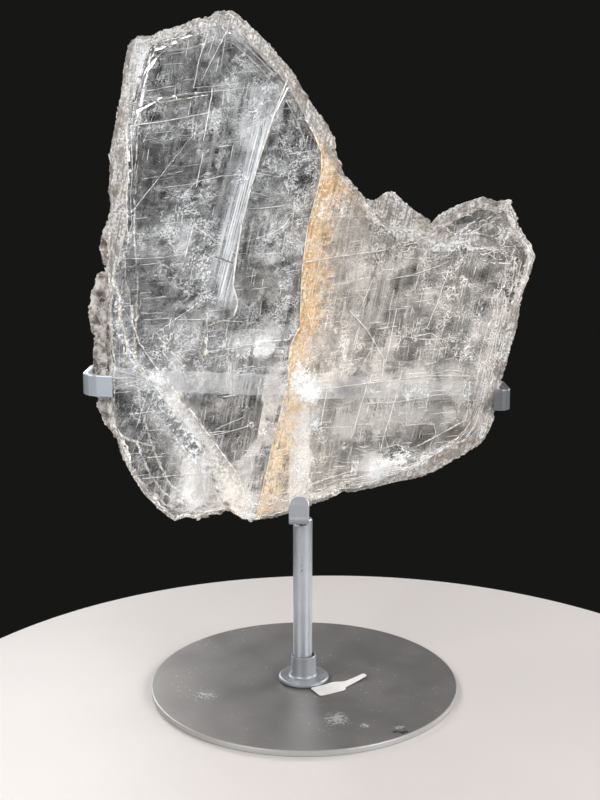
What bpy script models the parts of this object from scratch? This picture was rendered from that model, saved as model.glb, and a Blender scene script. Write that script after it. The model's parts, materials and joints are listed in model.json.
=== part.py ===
"""A cloudy selenite plate with an iron stained seam, held upright in a grey painted metal display stand.

The plate faces -Y. The origin is the centre of the base disc's underside, and +Z is up.
The crystal is one solid: a core with stepped, ragged edges, and thinner cleavage plates
on its front and back.
"""

import math
import random

import bmesh
import bpy
from mathutils import Matrix, Vector

# All sizes below are in millimetres, and MM turns them into metres.
MM = 0.001
GAP = 0.3  # clearance that touching pieces keep
MERGE = 0.001  # points nearer to each other than this are one point

# How edges of painted pieces are rounded and shaded
EDGE_STEPS = 2
EDGE_ANGLE_DEG = 60
SHARP_ANGLE_DEG = 35

# Base disc, with a socket standing on its middle
DISC_RADIUS = 80.0
DISC_THICK = 3.0
DISC_EDGE = 0.5
DISC_SEGMENTS = 96
FLANGE_RADIUS = 13.3
FLANGE_THICK = 2.2
FLANGE_FILLET = 1.6
TUBE_RADIUS = 6.5
TUBE_TOP = 16.8
TUBE_CHAMFER = 0.3
BORE_RADIUS = 5.8
BORE_FLOOR = 4.6
SOCKET_X = -0.3
TURNED_STEPS = 48
FILLET_STEPS = 4
RIM_STEPS = 6

# Post, a rod that stands in the socket a little to the left
POST_RADIUS = 4.95
POST_X = -0.8
POST_FOOT = BORE_FLOOR + GAP
POST_TOP = 90.9
POST_ROUNDING = 0.6
# Lumps of the weld bead, as (x, y, z) from the post's axis and radius
WELD_LUMPS = [(-2.6, -4.3, 88.8, 1.9), (-0.4, -4.7, 89.0, 1.5), (1.4, -4.4, 89.1, 1.2)]
WELD_SQUASH = (1.15, 0.8, 0.75, 1.0)
WELD_SUBDIVISIONS = 2

# Flat strip that both holders are bent from
STRIP_THICK = 2.8
STRIP_EDGE = 0.5
BEND_RADIUS = 3.6
BEND_STEPS = 5

# Bottom hook: up behind the plate, under it, and up in front as a lip with a rounded tip
HOOK_X = -2.7
HOOK_WIDTH = 10.2
HOOK_FLOOR_Z = 92.6
HOOK_BACK_Y = 17.3
HOOK_TOP_Z = 163.0
LIP_Y = -14.4
LIP_BEND_Z = 101.6
LIP_TIP_Y = -13.2
LIP_TIP_Z = 106.2
LIP_ROUNDING = 3.9
LIP_ROUNDING_STEPS = 5

# Cross strap behind the plate, with a hook round each edge of it
STRAP_HEIGHT = 10.6
STRAP_Z = 155.0
STRAP_Y = 14.1
LEFT_ARM_X = -107.9
LEFT_BEND_Y = -15.2
LEFT_TIP = (-95.4, -8.6)
RIGHT_ARM_X = 100.6
RIGHT_BEND_Y = -12.6
RIGHT_TIP = (93.6, -10.6)
RISE_FROM_X = -58.0
LEFT_RISE = 8.2  # the left arm was bent up by hand

# Price tag, blank, lying on the disc, as (x, y)
TAG_THICK = 0.3
TAG_OUTLINE = [
    (3.6, -13.6), (3.5, -14.6), (7.6, -21.6), (8.6, -22.0), (20.4, -15.4), (21.3, -14.2), (21.6, -11.4),
    (23.0, -9.9), (32.4, -0.4), (32.9, 0.8), (31.9, 3.0), (30.6, 3.2), (21.6, -4.2), (19.8, -4.9),
    (16.2, -5.2), (14.6, -5.8),
]

# Depths of the crystal's plates, front to back
CORE_FRONT_Y = -6.0
CORE_BACK_Y = 7.0
LEFT_FACE_Y = -10.2
STEP_FACE_Y = -11.2
RIGHT_FACE_Y = -9.8
BACK_LEDGE_Y = 9.6
BACK_FACE_Y = 12.0
OVERLAP = 0.6  # how far one plate runs into the next
LEDGE_SLOPE = 0.12  # half the depth that a ledge between two core sheets takes up
# Sheets of the core, as front depth, back depth, how far the edge is drawn in, and how unevenly
CORE_SHEETS = [
    (CORE_FRONT_Y, -4.3, 1.5, 3.2), (-4.3, -1.6, 0.5, 1.8), (-1.6, 2.4, 0.0, 0.0),
    (2.4, 4.8, 0.4, 2.0), (4.8, CORE_BACK_Y, 1.6, 3.2),
]
RIGHT_TURN_DEG = 0.8  # the right crystal leans away from the seam

# The crystal's outline seen from the front, as (x, z), clockwise from the upper left corner
SILHOUETTE = [
    (-84, 324), (-80, 328), (-72, 329), (-69, 331), (-60, 333), (-53, 336), (-46, 337), (-41, 340),
    (-35, 340), (-31, 338), (-28, 335), (-20, 328), (-13, 320), (-5, 311), (-2, 305), (4, 296),
    (11, 287), (14, 281), (15, 273), (17, 269), (19, 264), (22, 261), (26, 256), (31, 250),
    (38, 243), (45, 240), (50, 238), (56, 238), (60, 236), (64, 238), (66, 242), (70, 244),
    (75, 247), (80, 249), (85, 251), (89, 250.5), (93, 249), (98, 250.5), (100, 247), (104, 240),
    (108, 234), (111, 230), (113, 225), (112, 221), (110, 214), (107, 205), (106, 199), (105, 189),
    (103, 182), (101, 175), (100.6, 171), (98.4, 164), (97.6, 157), (95, 147), (95, 143), (93, 137),
    (89, 131), (82, 126), (75, 122), (69, 118), (61, 114), (54, 112), (46, 110.5), (36, 108),
    (28, 106), (22, 105), (20, 106), (17, 104), (11, 101), (4, 99), (-8, 94.3), (-15, 92),
    (-21, 91.2), (-27, 90), (-31, 91), (-35, 93), (-39, 96), (-43, 94), (-49, 93), (-55, 91),
    (-61, 92), (-66, 90), (-69, 92), (-74, 96), (-81, 103), (-86, 111), (-90, 119), (-93, 129),
    (-96, 137), (-98, 141), (-99.5, 148), (-98.5, 156), (-99.5, 164), (-98, 173), (-99, 182), (-97.5, 191),
    (-98.5, 200), (-97, 209), (-97.5, 218), (-96, 227), (-97, 236), (-95, 245), (-94, 251), (-95, 257),
    (-94, 266), (-94, 274), (-92, 283), (-90, 292), (-88, 301), (-86, 314),
]

# Front plate of the left crystal: the rind at the left, the frosted ridge, the bottom, then up the seam
FRONT_LEFT = [
    (-71.8, 325), (-78, 312), (-83, 296), (-84.6, 284), (-84.1, 266.5), (-85.4, 254), (-85.3, 241.5),
    (-89.6, 225), (-93.6, 213), (-90.2, 206), (-90.5, 194.6), (-87, 181), (-79, 168), (-68, 153.3),
    (-60.5, 142.7), (-51.2, 133), (-48.5, 122), (-46.7, 115.6), (-42.9, 104.7), (-37.5, 98.6), (-31, 93.4),
    (-22.5, 93.2), (-19.8, 114.6), (-13, 136), (-6, 162), (-5, 181.3), (0, 191.2), (1, 218), (3, 240),
    (8, 257), (11.5, 268), (8, 279), (2, 288), (-6.9, 304), (-13, 312), (-23.4, 323), (-31, 331),
    (-39, 333), (-50.7, 331.2), (-62.4, 327.4),
]

# Raised lamina of the left crystal. Its right edge is the bright step, and the pale band lies outside it.
STEP_PLATE = [
    (-69.5, 322.5), (-75.6, 311), (-80.6, 295), (-82.2, 283), (-82, 266), (-83.2, 254), (-83, 241),
    (-86.4, 226), (-86.8, 214), (-84.6, 204), (-84, 194), (-80.6, 183), (-73.2, 172), (-59.3, 153.5),
    (-46, 134.8), (-33.2, 116.4), (-31.4, 104), (-28.6, 95.6), (-24.3, 95.2), (-21, 114.6), (-14.9, 136),
    (-8.6, 162), (-7.4, 180.6), (-27, 182), (-48.3, 178.8), (-47.5, 192), (-34.4, 196.3), (-32.4, 203),
    (-34.7, 211.2), (-32.7, 226.8), (-30.1, 241.5), (-25.6, 258.3), (-21.2, 272.5), (-16.1, 287.4),
    (-11.1, 300.7), (-8.6, 304), (-14.6, 310.4), (-24.4, 321), (-32, 328.6), (-39.4, 330.6), (-50.4, 328.8),
    (-61.6, 325),
]

# Front plate of the right crystal. The first points follow the seam and the last are its ragged right edge.
RIGHT_SEAM_SIDE = [
    (-27.4, 94.6), (-22.6, 116), (-17.6, 137), (-11, 163), (-10, 183), (-5, 193), (-4, 219), (-1.4, 241),
    (4.6, 258), (7, 268), (12, 271), (17, 263.4), (24, 255.6), (31.6, 247), (40, 239), (46.6, 231.6),
    (52, 233.2), (60, 228.4), (66, 232.6), (73.4, 230.4), (79.6, 232), (84, 227.4),
]
RIGHT_RAGGED_SIDE = [
    (95, 229), (99, 222), (98, 213), (94, 206), (94.6, 196), (91, 186), (90.6, 176), (87, 169), (86, 158),
    (83, 150), (82, 142), (76, 134.6), (68, 128.4), (59, 122.6), (50, 119),
]
RIGHT_BOTTOM_SIDE = [
    (38, 113.4), (27, 109.6), (18.6, 109), (10, 104.4), (2, 102.6), (-8.6, 97.6), (-16, 95.2),
]
RIGHT_BACK_Y = -4.0
LAMINA_COUNT = 3
LAMINA_STEP = 3.1  # how much further right each lamina reaches than the one before
LAMINA_ROUGHNESS = 1.4
LAMINA_DROP = 0.8  # how much further back its face lies
LAMINA_TOP = [(60.0, 226.0), (82.0, 229.6)]
LAMINA_BOTTOM = [(62.0, 126.0)]
LAMINA_SIDE_END = -3  # the laminae leave out the last points of the ragged side

# Pale lamina along the bottom of the right crystal
BOTTOM_FROST_Y = (-10.5, -8.3)
BOTTOM_FROST = [
    (4, 118), (19, 131.6), (33, 128.2), (46, 132), (58, 127), (66, 128.4), (58, 121.6), (46, 117),
    (30, 112.4), (18, 112), (8, 107.4), (0, 105.6),
]

# Narrow block on the upper right shoulder, standing proud of the core
SHOULDER_Y = (-7.9, -5.0)
SHOULDER_PLATE = [
    (65, 240), (70, 242.6), (77, 245.6), (85, 248.6), (92, 246.6), (97, 247.6), (103, 238), (109, 229.6),
    (110.4, 224), (107, 212), (103.4, 201), (99, 203.4), (96, 214), (99.4, 225), (93, 233.6), (84, 236.6),
    (74, 235),
]

# Back plate, and the lumpy layers that reach out behind the left edge and the upper right
BACK_PLATE = [
    (-78, 318), (-70, 325), (-55, 329), (-42, 333.6), (-32, 330), (-18, 318), (-6, 303), (2, 290), (9, 275),
    (20, 257), (32, 243), (48, 229), (62, 227), (78, 238), (95, 239), (104, 229), (103, 210), (98, 190),
    (94, 172), (90, 152), (86, 138), (72, 127), (52, 117), (30, 112), (12, 107), (-6, 100.6), (-20, 97),
    (-33, 99), (-46, 98.6), (-62, 97), (-72, 103), (-80, 114), (-86, 130), (-90, 150), (-90, 180),
    (-88, 210), (-89, 236), (-87, 262), (-85, 288),
]
BACK_FACE_INSET = 3.0
BACK_FACE_ROUGHNESS = 5.0
LEFT_LUMPS = [
    [(-84, 214), (-92, 246), (-98.6, 238), (-100.6, 229), (-99, 221)],
    [(-82, 179), (-81, 221), (-101.6, 215.6), (-105.4, 206), (-107.2, 195), (-105.6, 186)],
    [(-83, 149), (-80, 188), (-104.6, 184), (-106, 176), (-105.9, 165), (-104.8, 154)],
    [(-78, 128), (-77, 161), (-103.6, 157), (-104.4, 149), (-101, 141), (-95.4, 133)],
    [(-72, 113), (-75, 140), (-95.6, 136), (-93.6, 124), (-88, 113), (-82, 107)],
]
LUMP_Y = [(2.3, 8.3), (1.0, 11.0)]  # depths of every other lump
PEAK_Y = [(0.7, 9.8), (1.4, 10.6)]
PEAK_PLATES = [
    [(26, 252), (35, 251.4), (40, 255), (43, 255.6), (47, 252), (54, 246), (61, 242), (61.3, 231.2),
     (41.7, 237.9)],
    [(56, 243), (63, 240), (67, 244.6), (78, 250), (88, 253), (94, 250.6), (100, 251.6), (104, 243),
     (98.6, 231.3), (78.4, 233.1), (59.4, 230.2)],
]

# Small cleavage pits in each front face, as (x, z, width, height, turn in degrees)
PITS = {
    RIGHT_FACE_Y: [
        (-7.5, 157.5, 7.0, 4.0, 20), (-1.5, 163.5, 5.5, 3.5, -35), (3.0, 153.5, 6.5, 3.0, 15),
        (-3.0, 149.8, 4.5, 3.0, 50), (30.0, 176.0, 9.0, 3.0, 62), (52.0, 171.5, 16.0, 2.4, 4),
        (40.0, 146.0, 12.0, 2.6, 74), (66.0, 146.0, 9.0, 2.6, 80),
    ],
    STEP_FACE_Y: [
        (-62.0, 176.0, 9.0, 3.0, -52), (-70.0, 186.0, 7.0, 3.0, -60), (-40.0, 224.0, 12.0, 2.4, -20),
        (-60.0, 299.5, 18.0, 2.0, 8),
    ],
}
PIT_DEPTH = 1.1
PIT_LEAN_DEG = 14.0
PIT_CUTTER_THICK = 6.0

RAGGED_SEED = 7

# Colours as (red, green, blue), then roughness and metallic
CRYSTAL_LOOK = ((0.86, 0.84, 0.79), 0.12, 0.0)
PAINT_LOOK = ((0.23, 0.22, 0.225), 0.38, 0.55)
PAPER_LOOK = ((0.87, 0.84, 0.81), 0.75, 0.0)


def clear_scene():
    for thing in list(bpy.data.objects):
        bpy.data.objects.remove(thing, do_unlink=True)


def new_collection(name):
    group = bpy.data.collections.new(name)
    bpy.context.scene.collection.children.link(group)
    return group


def material(name, look):
    """Principled material from a colour, a roughness and a metallic value."""
    colour, roughness, metallic = look
    made = bpy.data.materials.new(name)
    made.use_nodes = True
    shader = made.node_tree.nodes["Principled BSDF"]
    shader.inputs["Base Color"].default_value = (*colour, 1.0)
    shader.inputs["Roughness"].default_value = roughness
    shader.inputs["Metallic"].default_value = metallic
    return made


def add_object(name, mesh, group, finish):
    thing = bpy.data.objects.new(name, mesh)
    group.objects.link(thing)
    mesh.materials.clear()
    mesh.materials.append(finish)
    return thing


def as_helper(thing):
    thing.hide_render = True
    thing.display_type = "WIRE"


def mesh_from_curve(curve, placing):
    """Mesh of a curve's evaluated shape, with its caps welded on, moved by a matrix."""
    thing = bpy.data.objects.new("curve_in_work", curve)
    bpy.context.scene.collection.objects.link(thing)
    bpy.context.view_layer.update()
    evaluated = thing.evaluated_get(bpy.context.evaluated_depsgraph_get())
    mesh = bpy.data.meshes.new_from_object(evaluated)
    bpy.data.objects.remove(thing, do_unlink=True)
    shape = bmesh.new()
    shape.from_mesh(mesh)
    bmesh.ops.remove_doubles(shape, verts=shape.verts, dist=MERGE * MM)
    bmesh.ops.transform(shape, matrix=placing, verts=shape.verts)
    bmesh.ops.recalc_face_normals(shape, faces=shape.faces)
    shape.to_mesh(mesh)
    shape.free()
    return mesh


def flat_curve(name, points, closed, half_depth):
    """2D curve through points in millimetres, extruded to both sides of its own plane."""
    curve = bpy.data.curves.new(name, "CURVE")
    curve.dimensions = "2D"
    curve.fill_mode = "BOTH" if closed else "NONE"
    curve.extrude = half_depth * MM
    line = curve.splines.new("POLY")
    line.points.add(len(points) - 1)
    for spot, (across, up) in zip(line.points, points):
        spot.co = (across * MM, up * MM, 0.0, 1.0)
    line.use_cyclic_u = closed
    return curve


def upright_plate(name, outline, front_y, back_y):
    """Flat plate from an outline seen from the front, between two depths."""
    half = (back_y - front_y) / 2
    middle = (back_y + front_y) / 2
    stand_up = Matrix.Rotation(math.radians(90), 4, "X")
    placing = Matrix.Translation((0, middle * MM, 0)) @ stand_up
    return mesh_from_curve(flat_curve(name, outline, True, half), placing)


def inward_normals(outline):
    """Unit vector at each point of a clockwise outline, pointing to its inside, evened out along the edge."""
    count = len(outline)
    normals = []
    for index in range(count):
        along = Vector((0.0, 0.0))
        for reach in (1, 2, 3):
            along += Vector(outline[(index + reach) % count]) - Vector(outline[index - reach])
        along.normalize()
        normals.append(Vector((along.y, -along.x)))
    return normals


def ragged(outline, inset, roughness, chance):
    """Outline drawn inwards by an uneven amount, as broken cleavage sheets are."""
    drawn = []
    uneven = [chance.random() for _ in outline]
    for index, (point, inward) in enumerate(zip(outline, inward_normals(outline))):
        depth = inset + roughness * (uneven[index - 1] + uneven[index]) / 2
        drawn.append(tuple(Vector(point) + inward * depth))
    return drawn


def build_core_mesh(chance):
    """Stack of broken sheets as one skin. Each sheet is a pair of rings, joined to the next by a ledge."""
    shape = bmesh.new()
    rings = []
    for front_y, back_y, inset, roughness in CORE_SHEETS:
        outline = ragged(SILHOUETTE, inset, roughness, chance)
        for depth in (front_y + LEDGE_SLOPE, back_y - LEDGE_SLOPE):
            rings.append([shape.verts.new(Vector((x, depth, z)) * MM) for x, z in outline])
    for ring, following in zip(rings, rings[1:]):
        for number in range(len(ring)):
            shape.faces.new((ring[number - 1], ring[number], following[number], following[number - 1]))
    shape.faces.new(rings[0])
    shape.faces.new(rings[-1])
    bmesh.ops.recalc_face_normals(shape, faces=shape.faces)
    mesh = bpy.data.meshes.new("selenite")
    shape.to_mesh(mesh)
    shape.free()
    return mesh


def crystal_plates(chance):
    """Names and meshes of the cleavage plates that are joined to the core."""
    plates = []

    def add(name, outline, front_y, back_y):
        plates.append((name, upright_plate(name, outline, front_y, back_y)))

    add("front_left", FRONT_LEFT, LEFT_FACE_Y, CORE_FRONT_Y + OVERLAP)
    add("step_plate", STEP_PLATE, STEP_FACE_Y, LEFT_FACE_Y + OVERLAP)

    turned = right_crystal_turn()
    right_outline = RIGHT_SEAM_SIDE + RIGHT_RAGGED_SIDE + RIGHT_BOTTOM_SIDE
    add("front_right", right_outline, RIGHT_FACE_Y, RIGHT_BACK_Y)
    plates[-1][1].transform(turned)
    for number in range(1, LAMINA_COUNT + 1):
        ragged_side = []
        for x, z in RIGHT_RAGGED_SIDE[:LAMINA_SIDE_END]:
            ragged_side.append((x + LAMINA_STEP * number + LAMINA_ROUGHNESS * chance.random(), z))
        outline = LAMINA_TOP + ragged_side + LAMINA_BOTTOM
        add(f"right_lamina_{number}", outline, RIGHT_FACE_Y + LAMINA_DROP * number, RIGHT_BACK_Y)
        plates[-1][1].transform(turned)
    add("bottom_frost", BOTTOM_FROST, *BOTTOM_FROST_Y)
    add("shoulder_plate", SHOULDER_PLATE, *SHOULDER_Y)

    add("back_plate", BACK_PLATE, CORE_BACK_Y - OVERLAP, BACK_LEDGE_Y)
    back_outline = ragged(BACK_PLATE, BACK_FACE_INSET, BACK_FACE_ROUGHNESS, chance)
    add("back_face", back_outline, BACK_LEDGE_Y - OVERLAP, BACK_FACE_Y)
    for number, outline in enumerate(LEFT_LUMPS):
        add(f"left_lump_{number + 1}", outline, *LUMP_Y[number % 2])
    for number, outline in enumerate(PEAK_PLATES):
        add(f"peak_{number + 1}", outline, *PEAK_Y[number])
    return plates


def right_crystal_turn():
    """Small turn about an upright line through the seam."""
    seam = Vector((0.0, RIGHT_FACE_Y * MM, 0.0))
    turn = Matrix.Rotation(math.radians(RIGHT_TURN_DEG), 4, "Z")
    return Matrix.Translation(seam) @ turn @ Matrix.Translation(-seam)


def pit_cutter(name, pit, face_y):
    """Leaning box that leaves a shallow wedge shaped pit in a front face."""
    x, z, width, height, turn = pit
    shape = bmesh.new()
    bmesh.ops.create_cube(shape, size=1.0)
    bmesh.ops.scale(shape, vec=Vector((width, PIT_CUTTER_THICK, height)) * MM, verts=shape.verts)
    lean = Matrix.Rotation(math.radians(PIT_LEAN_DEG), 4, "X")
    roll = Matrix.Rotation(math.radians(-turn), 4, "Y")
    centre = Vector((x, face_y + (PIT_DEPTH - PIT_CUTTER_THICK) / 2, z)) * MM
    bmesh.ops.transform(shape, matrix=Matrix.Translation(centre) @ roll @ lean, verts=shape.verts)
    mesh = bpy.data.meshes.new(name)
    shape.to_mesh(mesh)
    shape.free()
    return mesh


def add_boolean(thing, other, operation, solver="EXACT"):
    join = thing.modifiers.new(other.name, "BOOLEAN")
    join.operation = operation
    join.object = other
    join.solver = solver


def build_selenite(group, helpers, finish):
    """The exact solver leaves slits where the thin ledges cross, so the manifold one joins the plates."""
    chance = random.Random(RAGGED_SEED)
    body = add_object("selenite", build_core_mesh(chance), group, finish)
    for name, mesh in crystal_plates(chance):
        plate = add_object(name, mesh, helpers, finish)
        as_helper(plate)
        add_boolean(body, plate, "UNION", "MANIFOLD")
    for face_y, pits in PITS.items():
        for pit in pits:
            cutter = add_object("pit_cutter", pit_cutter("pit", pit, face_y), helpers, finish)
            as_helper(cutter)
            add_boolean(body, cutter, "DIFFERENCE", "MANIFOLD")
    return body


def round_edges(thing, width):
    edges = thing.modifiers.new("edges", "BEVEL")
    edges.width = width * MM
    edges.segments = EDGE_STEPS
    edges.limit_method = "ANGLE"
    edges.angle_limit = math.radians(EDGE_ANGLE_DEG)


def build_base_disc(group, finish):
    shape = bmesh.new()
    bmesh.ops.create_cone(shape, cap_ends=True, segments=DISC_SEGMENTS, radius1=DISC_RADIUS * MM,
                          radius2=DISC_RADIUS * MM, depth=DISC_THICK * MM)
    mesh = bpy.data.meshes.new("base_disc")
    shape.to_mesh(mesh)
    shape.free()
    disc = add_object("base_disc", mesh, group, finish)
    disc.location = (0, 0, DISC_THICK / 2 * MM)
    round_edges(disc, DISC_EDGE)
    return disc


def turned(name, profile, group, finish):
    """Solid of revolution about its own Z axis from (radius, height) points, outer side top to bottom."""
    mesh = bpy.data.meshes.new(name)
    points = [(radius * MM, 0, height * MM) for radius, height in profile]
    edges = [(number, number + 1) for number in range(len(points) - 1)]
    mesh.from_pydata(points, edges, [])
    thing = add_object(name, mesh, group, finish)
    screw = thing.modifiers.new("turn", "SCREW")
    screw.steps = TURNED_STEPS
    screw.render_steps = TURNED_STEPS
    screw.use_merge_vertices = True
    screw.merge_threshold = MERGE * MM
    screw.use_smooth_shade = True
    return thing


def turns(start_deg, end_deg, steps):
    """Cosine and sine of evenly spaced angles."""
    for number in range(steps + 1):
        angle = math.radians(start_deg + (end_deg - start_deg) * number / steps)
        yield math.cos(angle), math.sin(angle)


def build_socket(group, finish):
    """Flange with a rolled rim, a filleted foot and a tube with a blind bore."""
    bottom = DISC_THICK + GAP
    top = bottom + FLANGE_THICK
    rim = FLANGE_THICK / 2
    shoulder = TUBE_TOP - TUBE_CHAMFER
    profile = [(0.0, BORE_FLOOR), (BORE_RADIUS, BORE_FLOOR), (BORE_RADIUS, TUBE_TOP),
               (TUBE_RADIUS - TUBE_CHAMFER, TUBE_TOP), (TUBE_RADIUS, shoulder)]
    for across, up in turns(0, 90, FILLET_STEPS):
        profile.append((TUBE_RADIUS + FLANGE_FILLET * (1 - across), top + FLANGE_FILLET * (1 - up)))
    for across, up in turns(90, -90, RIM_STEPS):
        profile.append((FLANGE_RADIUS - rim + rim * across, bottom + rim + rim * up))
    profile.append((0.0, bottom))
    socket = turned("socket_flange", profile, group, finish)
    socket.location = (SOCKET_X * MM, 0, 0)
    return socket


def weld_lump(name, lump, group, finish):
    x, y, z, radius = lump
    shape = bmesh.new()
    bmesh.ops.create_icosphere(shape, subdivisions=WELD_SUBDIVISIONS, radius=radius * MM)
    place = Matrix.Translation(Vector((x, y, z)) * MM) @ Matrix.Diagonal(WELD_SQUASH)
    bmesh.ops.transform(shape, matrix=place, verts=shape.verts)
    mesh = bpy.data.meshes.new(name)
    shape.to_mesh(mesh)
    shape.free()
    lump_object = add_object(name, mesh, group, finish)
    lump_object.location = (POST_X * MM, 0, 0)
    as_helper(lump_object)
    return lump_object


def build_post(group, helpers, finish):
    """Rod with rounded ends, and the weld bead on its front just under the hook."""
    inner = POST_RADIUS - POST_ROUNDING
    profile = [(0.0, POST_TOP), (inner, POST_TOP), (POST_RADIUS, POST_TOP - POST_ROUNDING),
               (POST_RADIUS, POST_FOOT + POST_ROUNDING), (inner, POST_FOOT), (0.0, POST_FOOT)]
    post = turned("post", profile, group, finish)
    post.location = (POST_X * MM, 0, 0)
    for lump in WELD_LUMPS:
        add_boolean(post, weld_lump("weld_lump", lump, helpers, finish), "UNION")
    return post


def bent_line(corners):
    """Line through corners, with each inner one rounded by the strip's bend radius."""
    line = [Vector(corners[0])]
    for before, corner, after in zip(corners, corners[1:], corners[2:]):
        corner = Vector(corner)
        towards_start = (Vector(before) - corner).normalized()
        towards_end = (Vector(after) - corner).normalized()
        half_angle = towards_start.angle(towards_end) / 2
        reach = BEND_RADIUS / math.tan(half_angle)
        centre = corner + (towards_start + towards_end).normalized() * (BEND_RADIUS / math.sin(half_angle))
        start = (corner + towards_start * reach - centre).normalized()
        end = (corner + towards_end * reach - centre).normalized()
        for number in range(BEND_STEPS + 1):
            line.append(centre + start.slerp(end, number / BEND_STEPS) * BEND_RADIUS)
    line.append(Vector(corners[-1]))
    return [tuple(point) for point in line]


def bent_strip(name, corners, width, placing, group, finish):
    """Flat strip bent along a line: a ribbon given its thickness, with rounded edges."""
    mesh = mesh_from_curve(flat_curve(name, bent_line(corners), False, width / 2), placing)
    strip = add_object(name, mesh, group, finish)
    thickness = strip.modifiers.new("thickness", "SOLIDIFY")
    thickness.thickness = STRIP_THICK * MM
    thickness.offset = 0.0
    thickness.use_even_offset = True
    round_edges(strip, STRIP_EDGE)
    return strip


def round_lip(mesh):
    """Rounds the two corners of the hook's ribbon where its lip ends."""
    shape = bmesh.new()
    shape.from_mesh(mesh)
    tip = Vector((0.0, LIP_TIP_Y, LIP_TIP_Z)) * MM
    corners = [point for point in shape.verts if (point.co.yz - tip.yz).length < MERGE * MM]
    bmesh.ops.bevel(shape, geom=corners, offset=LIP_ROUNDING * MM, segments=LIP_ROUNDING_STEPS, profile=0.5,
                    affect="VERTICES")
    shape.to_mesh(mesh)
    shape.free()


def build_bottom_hook(group, finish):
    corners = [(LIP_TIP_Y, LIP_TIP_Z), (LIP_Y, LIP_BEND_Z), (LIP_Y, HOOK_FLOOR_Z),
               (HOOK_BACK_Y, HOOK_FLOOR_Z), (HOOK_BACK_Y, HOOK_TOP_Z)]
    # The drawn plane's first direction becomes Y and its second Z.
    placing = Matrix(((0, 0, 1, HOOK_X * MM), (1, 0, 0, 0), (0, 1, 0, 0), (0, 0, 0, 1)))
    hook = bent_strip("bottom_hook", corners, HOOK_WIDTH, placing, group, finish)
    round_lip(hook.data)
    return hook


def build_cross_strap(group, finish):
    corners = [LEFT_TIP, (LEFT_ARM_X, LEFT_BEND_Y), (LEFT_ARM_X, STRAP_Y), (RIGHT_ARM_X, STRAP_Y),
               (RIGHT_ARM_X, RIGHT_BEND_Y), RIGHT_TIP]
    placing = Matrix.Translation((0, 0, STRAP_Z * MM))
    strap = bent_strip("cross_strap", corners, STRAP_HEIGHT, placing, group, finish)
    for point in strap.data.vertices:
        past = (RISE_FROM_X * MM - point.co.x) / ((RISE_FROM_X - LEFT_ARM_X) * MM)
        if past > 0:
            point.co.z += LEFT_RISE * MM * past
    return strap


def build_paper_tag(group, finish):
    """Two rounded leaves of a folded tag, joined by its narrow tail."""
    middle = DISC_THICK + GAP + TAG_THICK / 2
    mesh = mesh_from_curve(flat_curve("paper_tag", TAG_OUTLINE, True, TAG_THICK / 2),
                           Matrix.Translation((0, 0, middle * MM)))
    return add_object("paper_tag", mesh, group, finish)


def smooth_round_pieces(pieces):
    for piece in pieces:
        piece.data.shade_smooth()
        piece.data.set_sharp_from_angle(angle=math.radians(SHARP_ANGLE_DEG))


def main():
    clear_scene()
    group = new_collection("selenite_on_stand")
    helpers = new_collection("selenite_plates_and_cutters")
    crystal = material("selenite_crystal", CRYSTAL_LOOK)
    paint = material("grey_paint", PAINT_LOOK)
    paper = material("tag_paper", PAPER_LOOK)

    build_selenite(group, helpers, crystal)
    disc = build_base_disc(group, paint)
    socket = build_socket(group, paint)
    post = build_post(group, helpers, paint)
    hook = build_bottom_hook(group, paint)
    strap = build_cross_strap(group, paint)
    build_paper_tag(group, paper)
    smooth_round_pieces([disc, socket, post, hook, strap])


main()
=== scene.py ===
import json
import math
import random

import bpy
import numpy as np
from mathutils import Matrix, Vector

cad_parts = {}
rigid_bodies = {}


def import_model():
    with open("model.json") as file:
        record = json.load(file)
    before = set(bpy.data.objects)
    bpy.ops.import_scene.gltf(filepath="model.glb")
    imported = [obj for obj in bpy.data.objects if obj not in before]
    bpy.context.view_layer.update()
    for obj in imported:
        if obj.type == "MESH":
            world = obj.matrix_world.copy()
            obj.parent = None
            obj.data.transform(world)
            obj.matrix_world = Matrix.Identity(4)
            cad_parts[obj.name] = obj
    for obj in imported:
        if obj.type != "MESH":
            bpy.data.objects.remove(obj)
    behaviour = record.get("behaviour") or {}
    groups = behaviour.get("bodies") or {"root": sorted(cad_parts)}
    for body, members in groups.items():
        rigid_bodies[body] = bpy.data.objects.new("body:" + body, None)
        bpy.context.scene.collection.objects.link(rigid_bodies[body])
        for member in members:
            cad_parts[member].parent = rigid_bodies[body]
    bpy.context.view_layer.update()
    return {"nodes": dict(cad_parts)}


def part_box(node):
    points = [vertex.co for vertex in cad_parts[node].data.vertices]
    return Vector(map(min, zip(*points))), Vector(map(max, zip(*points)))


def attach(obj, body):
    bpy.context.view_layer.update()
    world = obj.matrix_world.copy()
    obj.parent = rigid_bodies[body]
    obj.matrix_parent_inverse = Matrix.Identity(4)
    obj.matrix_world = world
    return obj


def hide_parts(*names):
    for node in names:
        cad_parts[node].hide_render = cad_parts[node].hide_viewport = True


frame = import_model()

bl_info = {
    "name": "Selenite Plate on a Stand",
    "version": (1, 0, 0),
    "blender": (4, 5, 0),
    "location": "3D View > Sidebar > Selenite",
    "description": "Finishes a veined selenite plate, the painted stand that holds it, and its blank tag",
    "category": "Object",
}

# Sizes are in millimetres unless a property says otherwise, and MM turns them into metres.
MM = 0.001
CRYSTAL_LOW, CRYSTAL_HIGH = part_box("selenite")
TAG_LOW, TAG_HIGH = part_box("paper_tag")

# Directions of the crystal's cleavage traces, seen from the front
STEEP_TRACE_DEG = 79.0
LEVEL_TRACE_DEG = 5.0

# Depth of the left crystal's raised face
STEP_FACE_Y = -11.2
# The rind's frosted ledges lie above a height and right of a line, between two depths
RIND_LOW_Z = 214.0
RIND_LEFT_X = -36.0
RIND_DEPTHS = (-7.0, 6.0)
RIND_WALL_REACH = 6.5  # walls further from the middle depth than this are ledges of the rind
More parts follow.
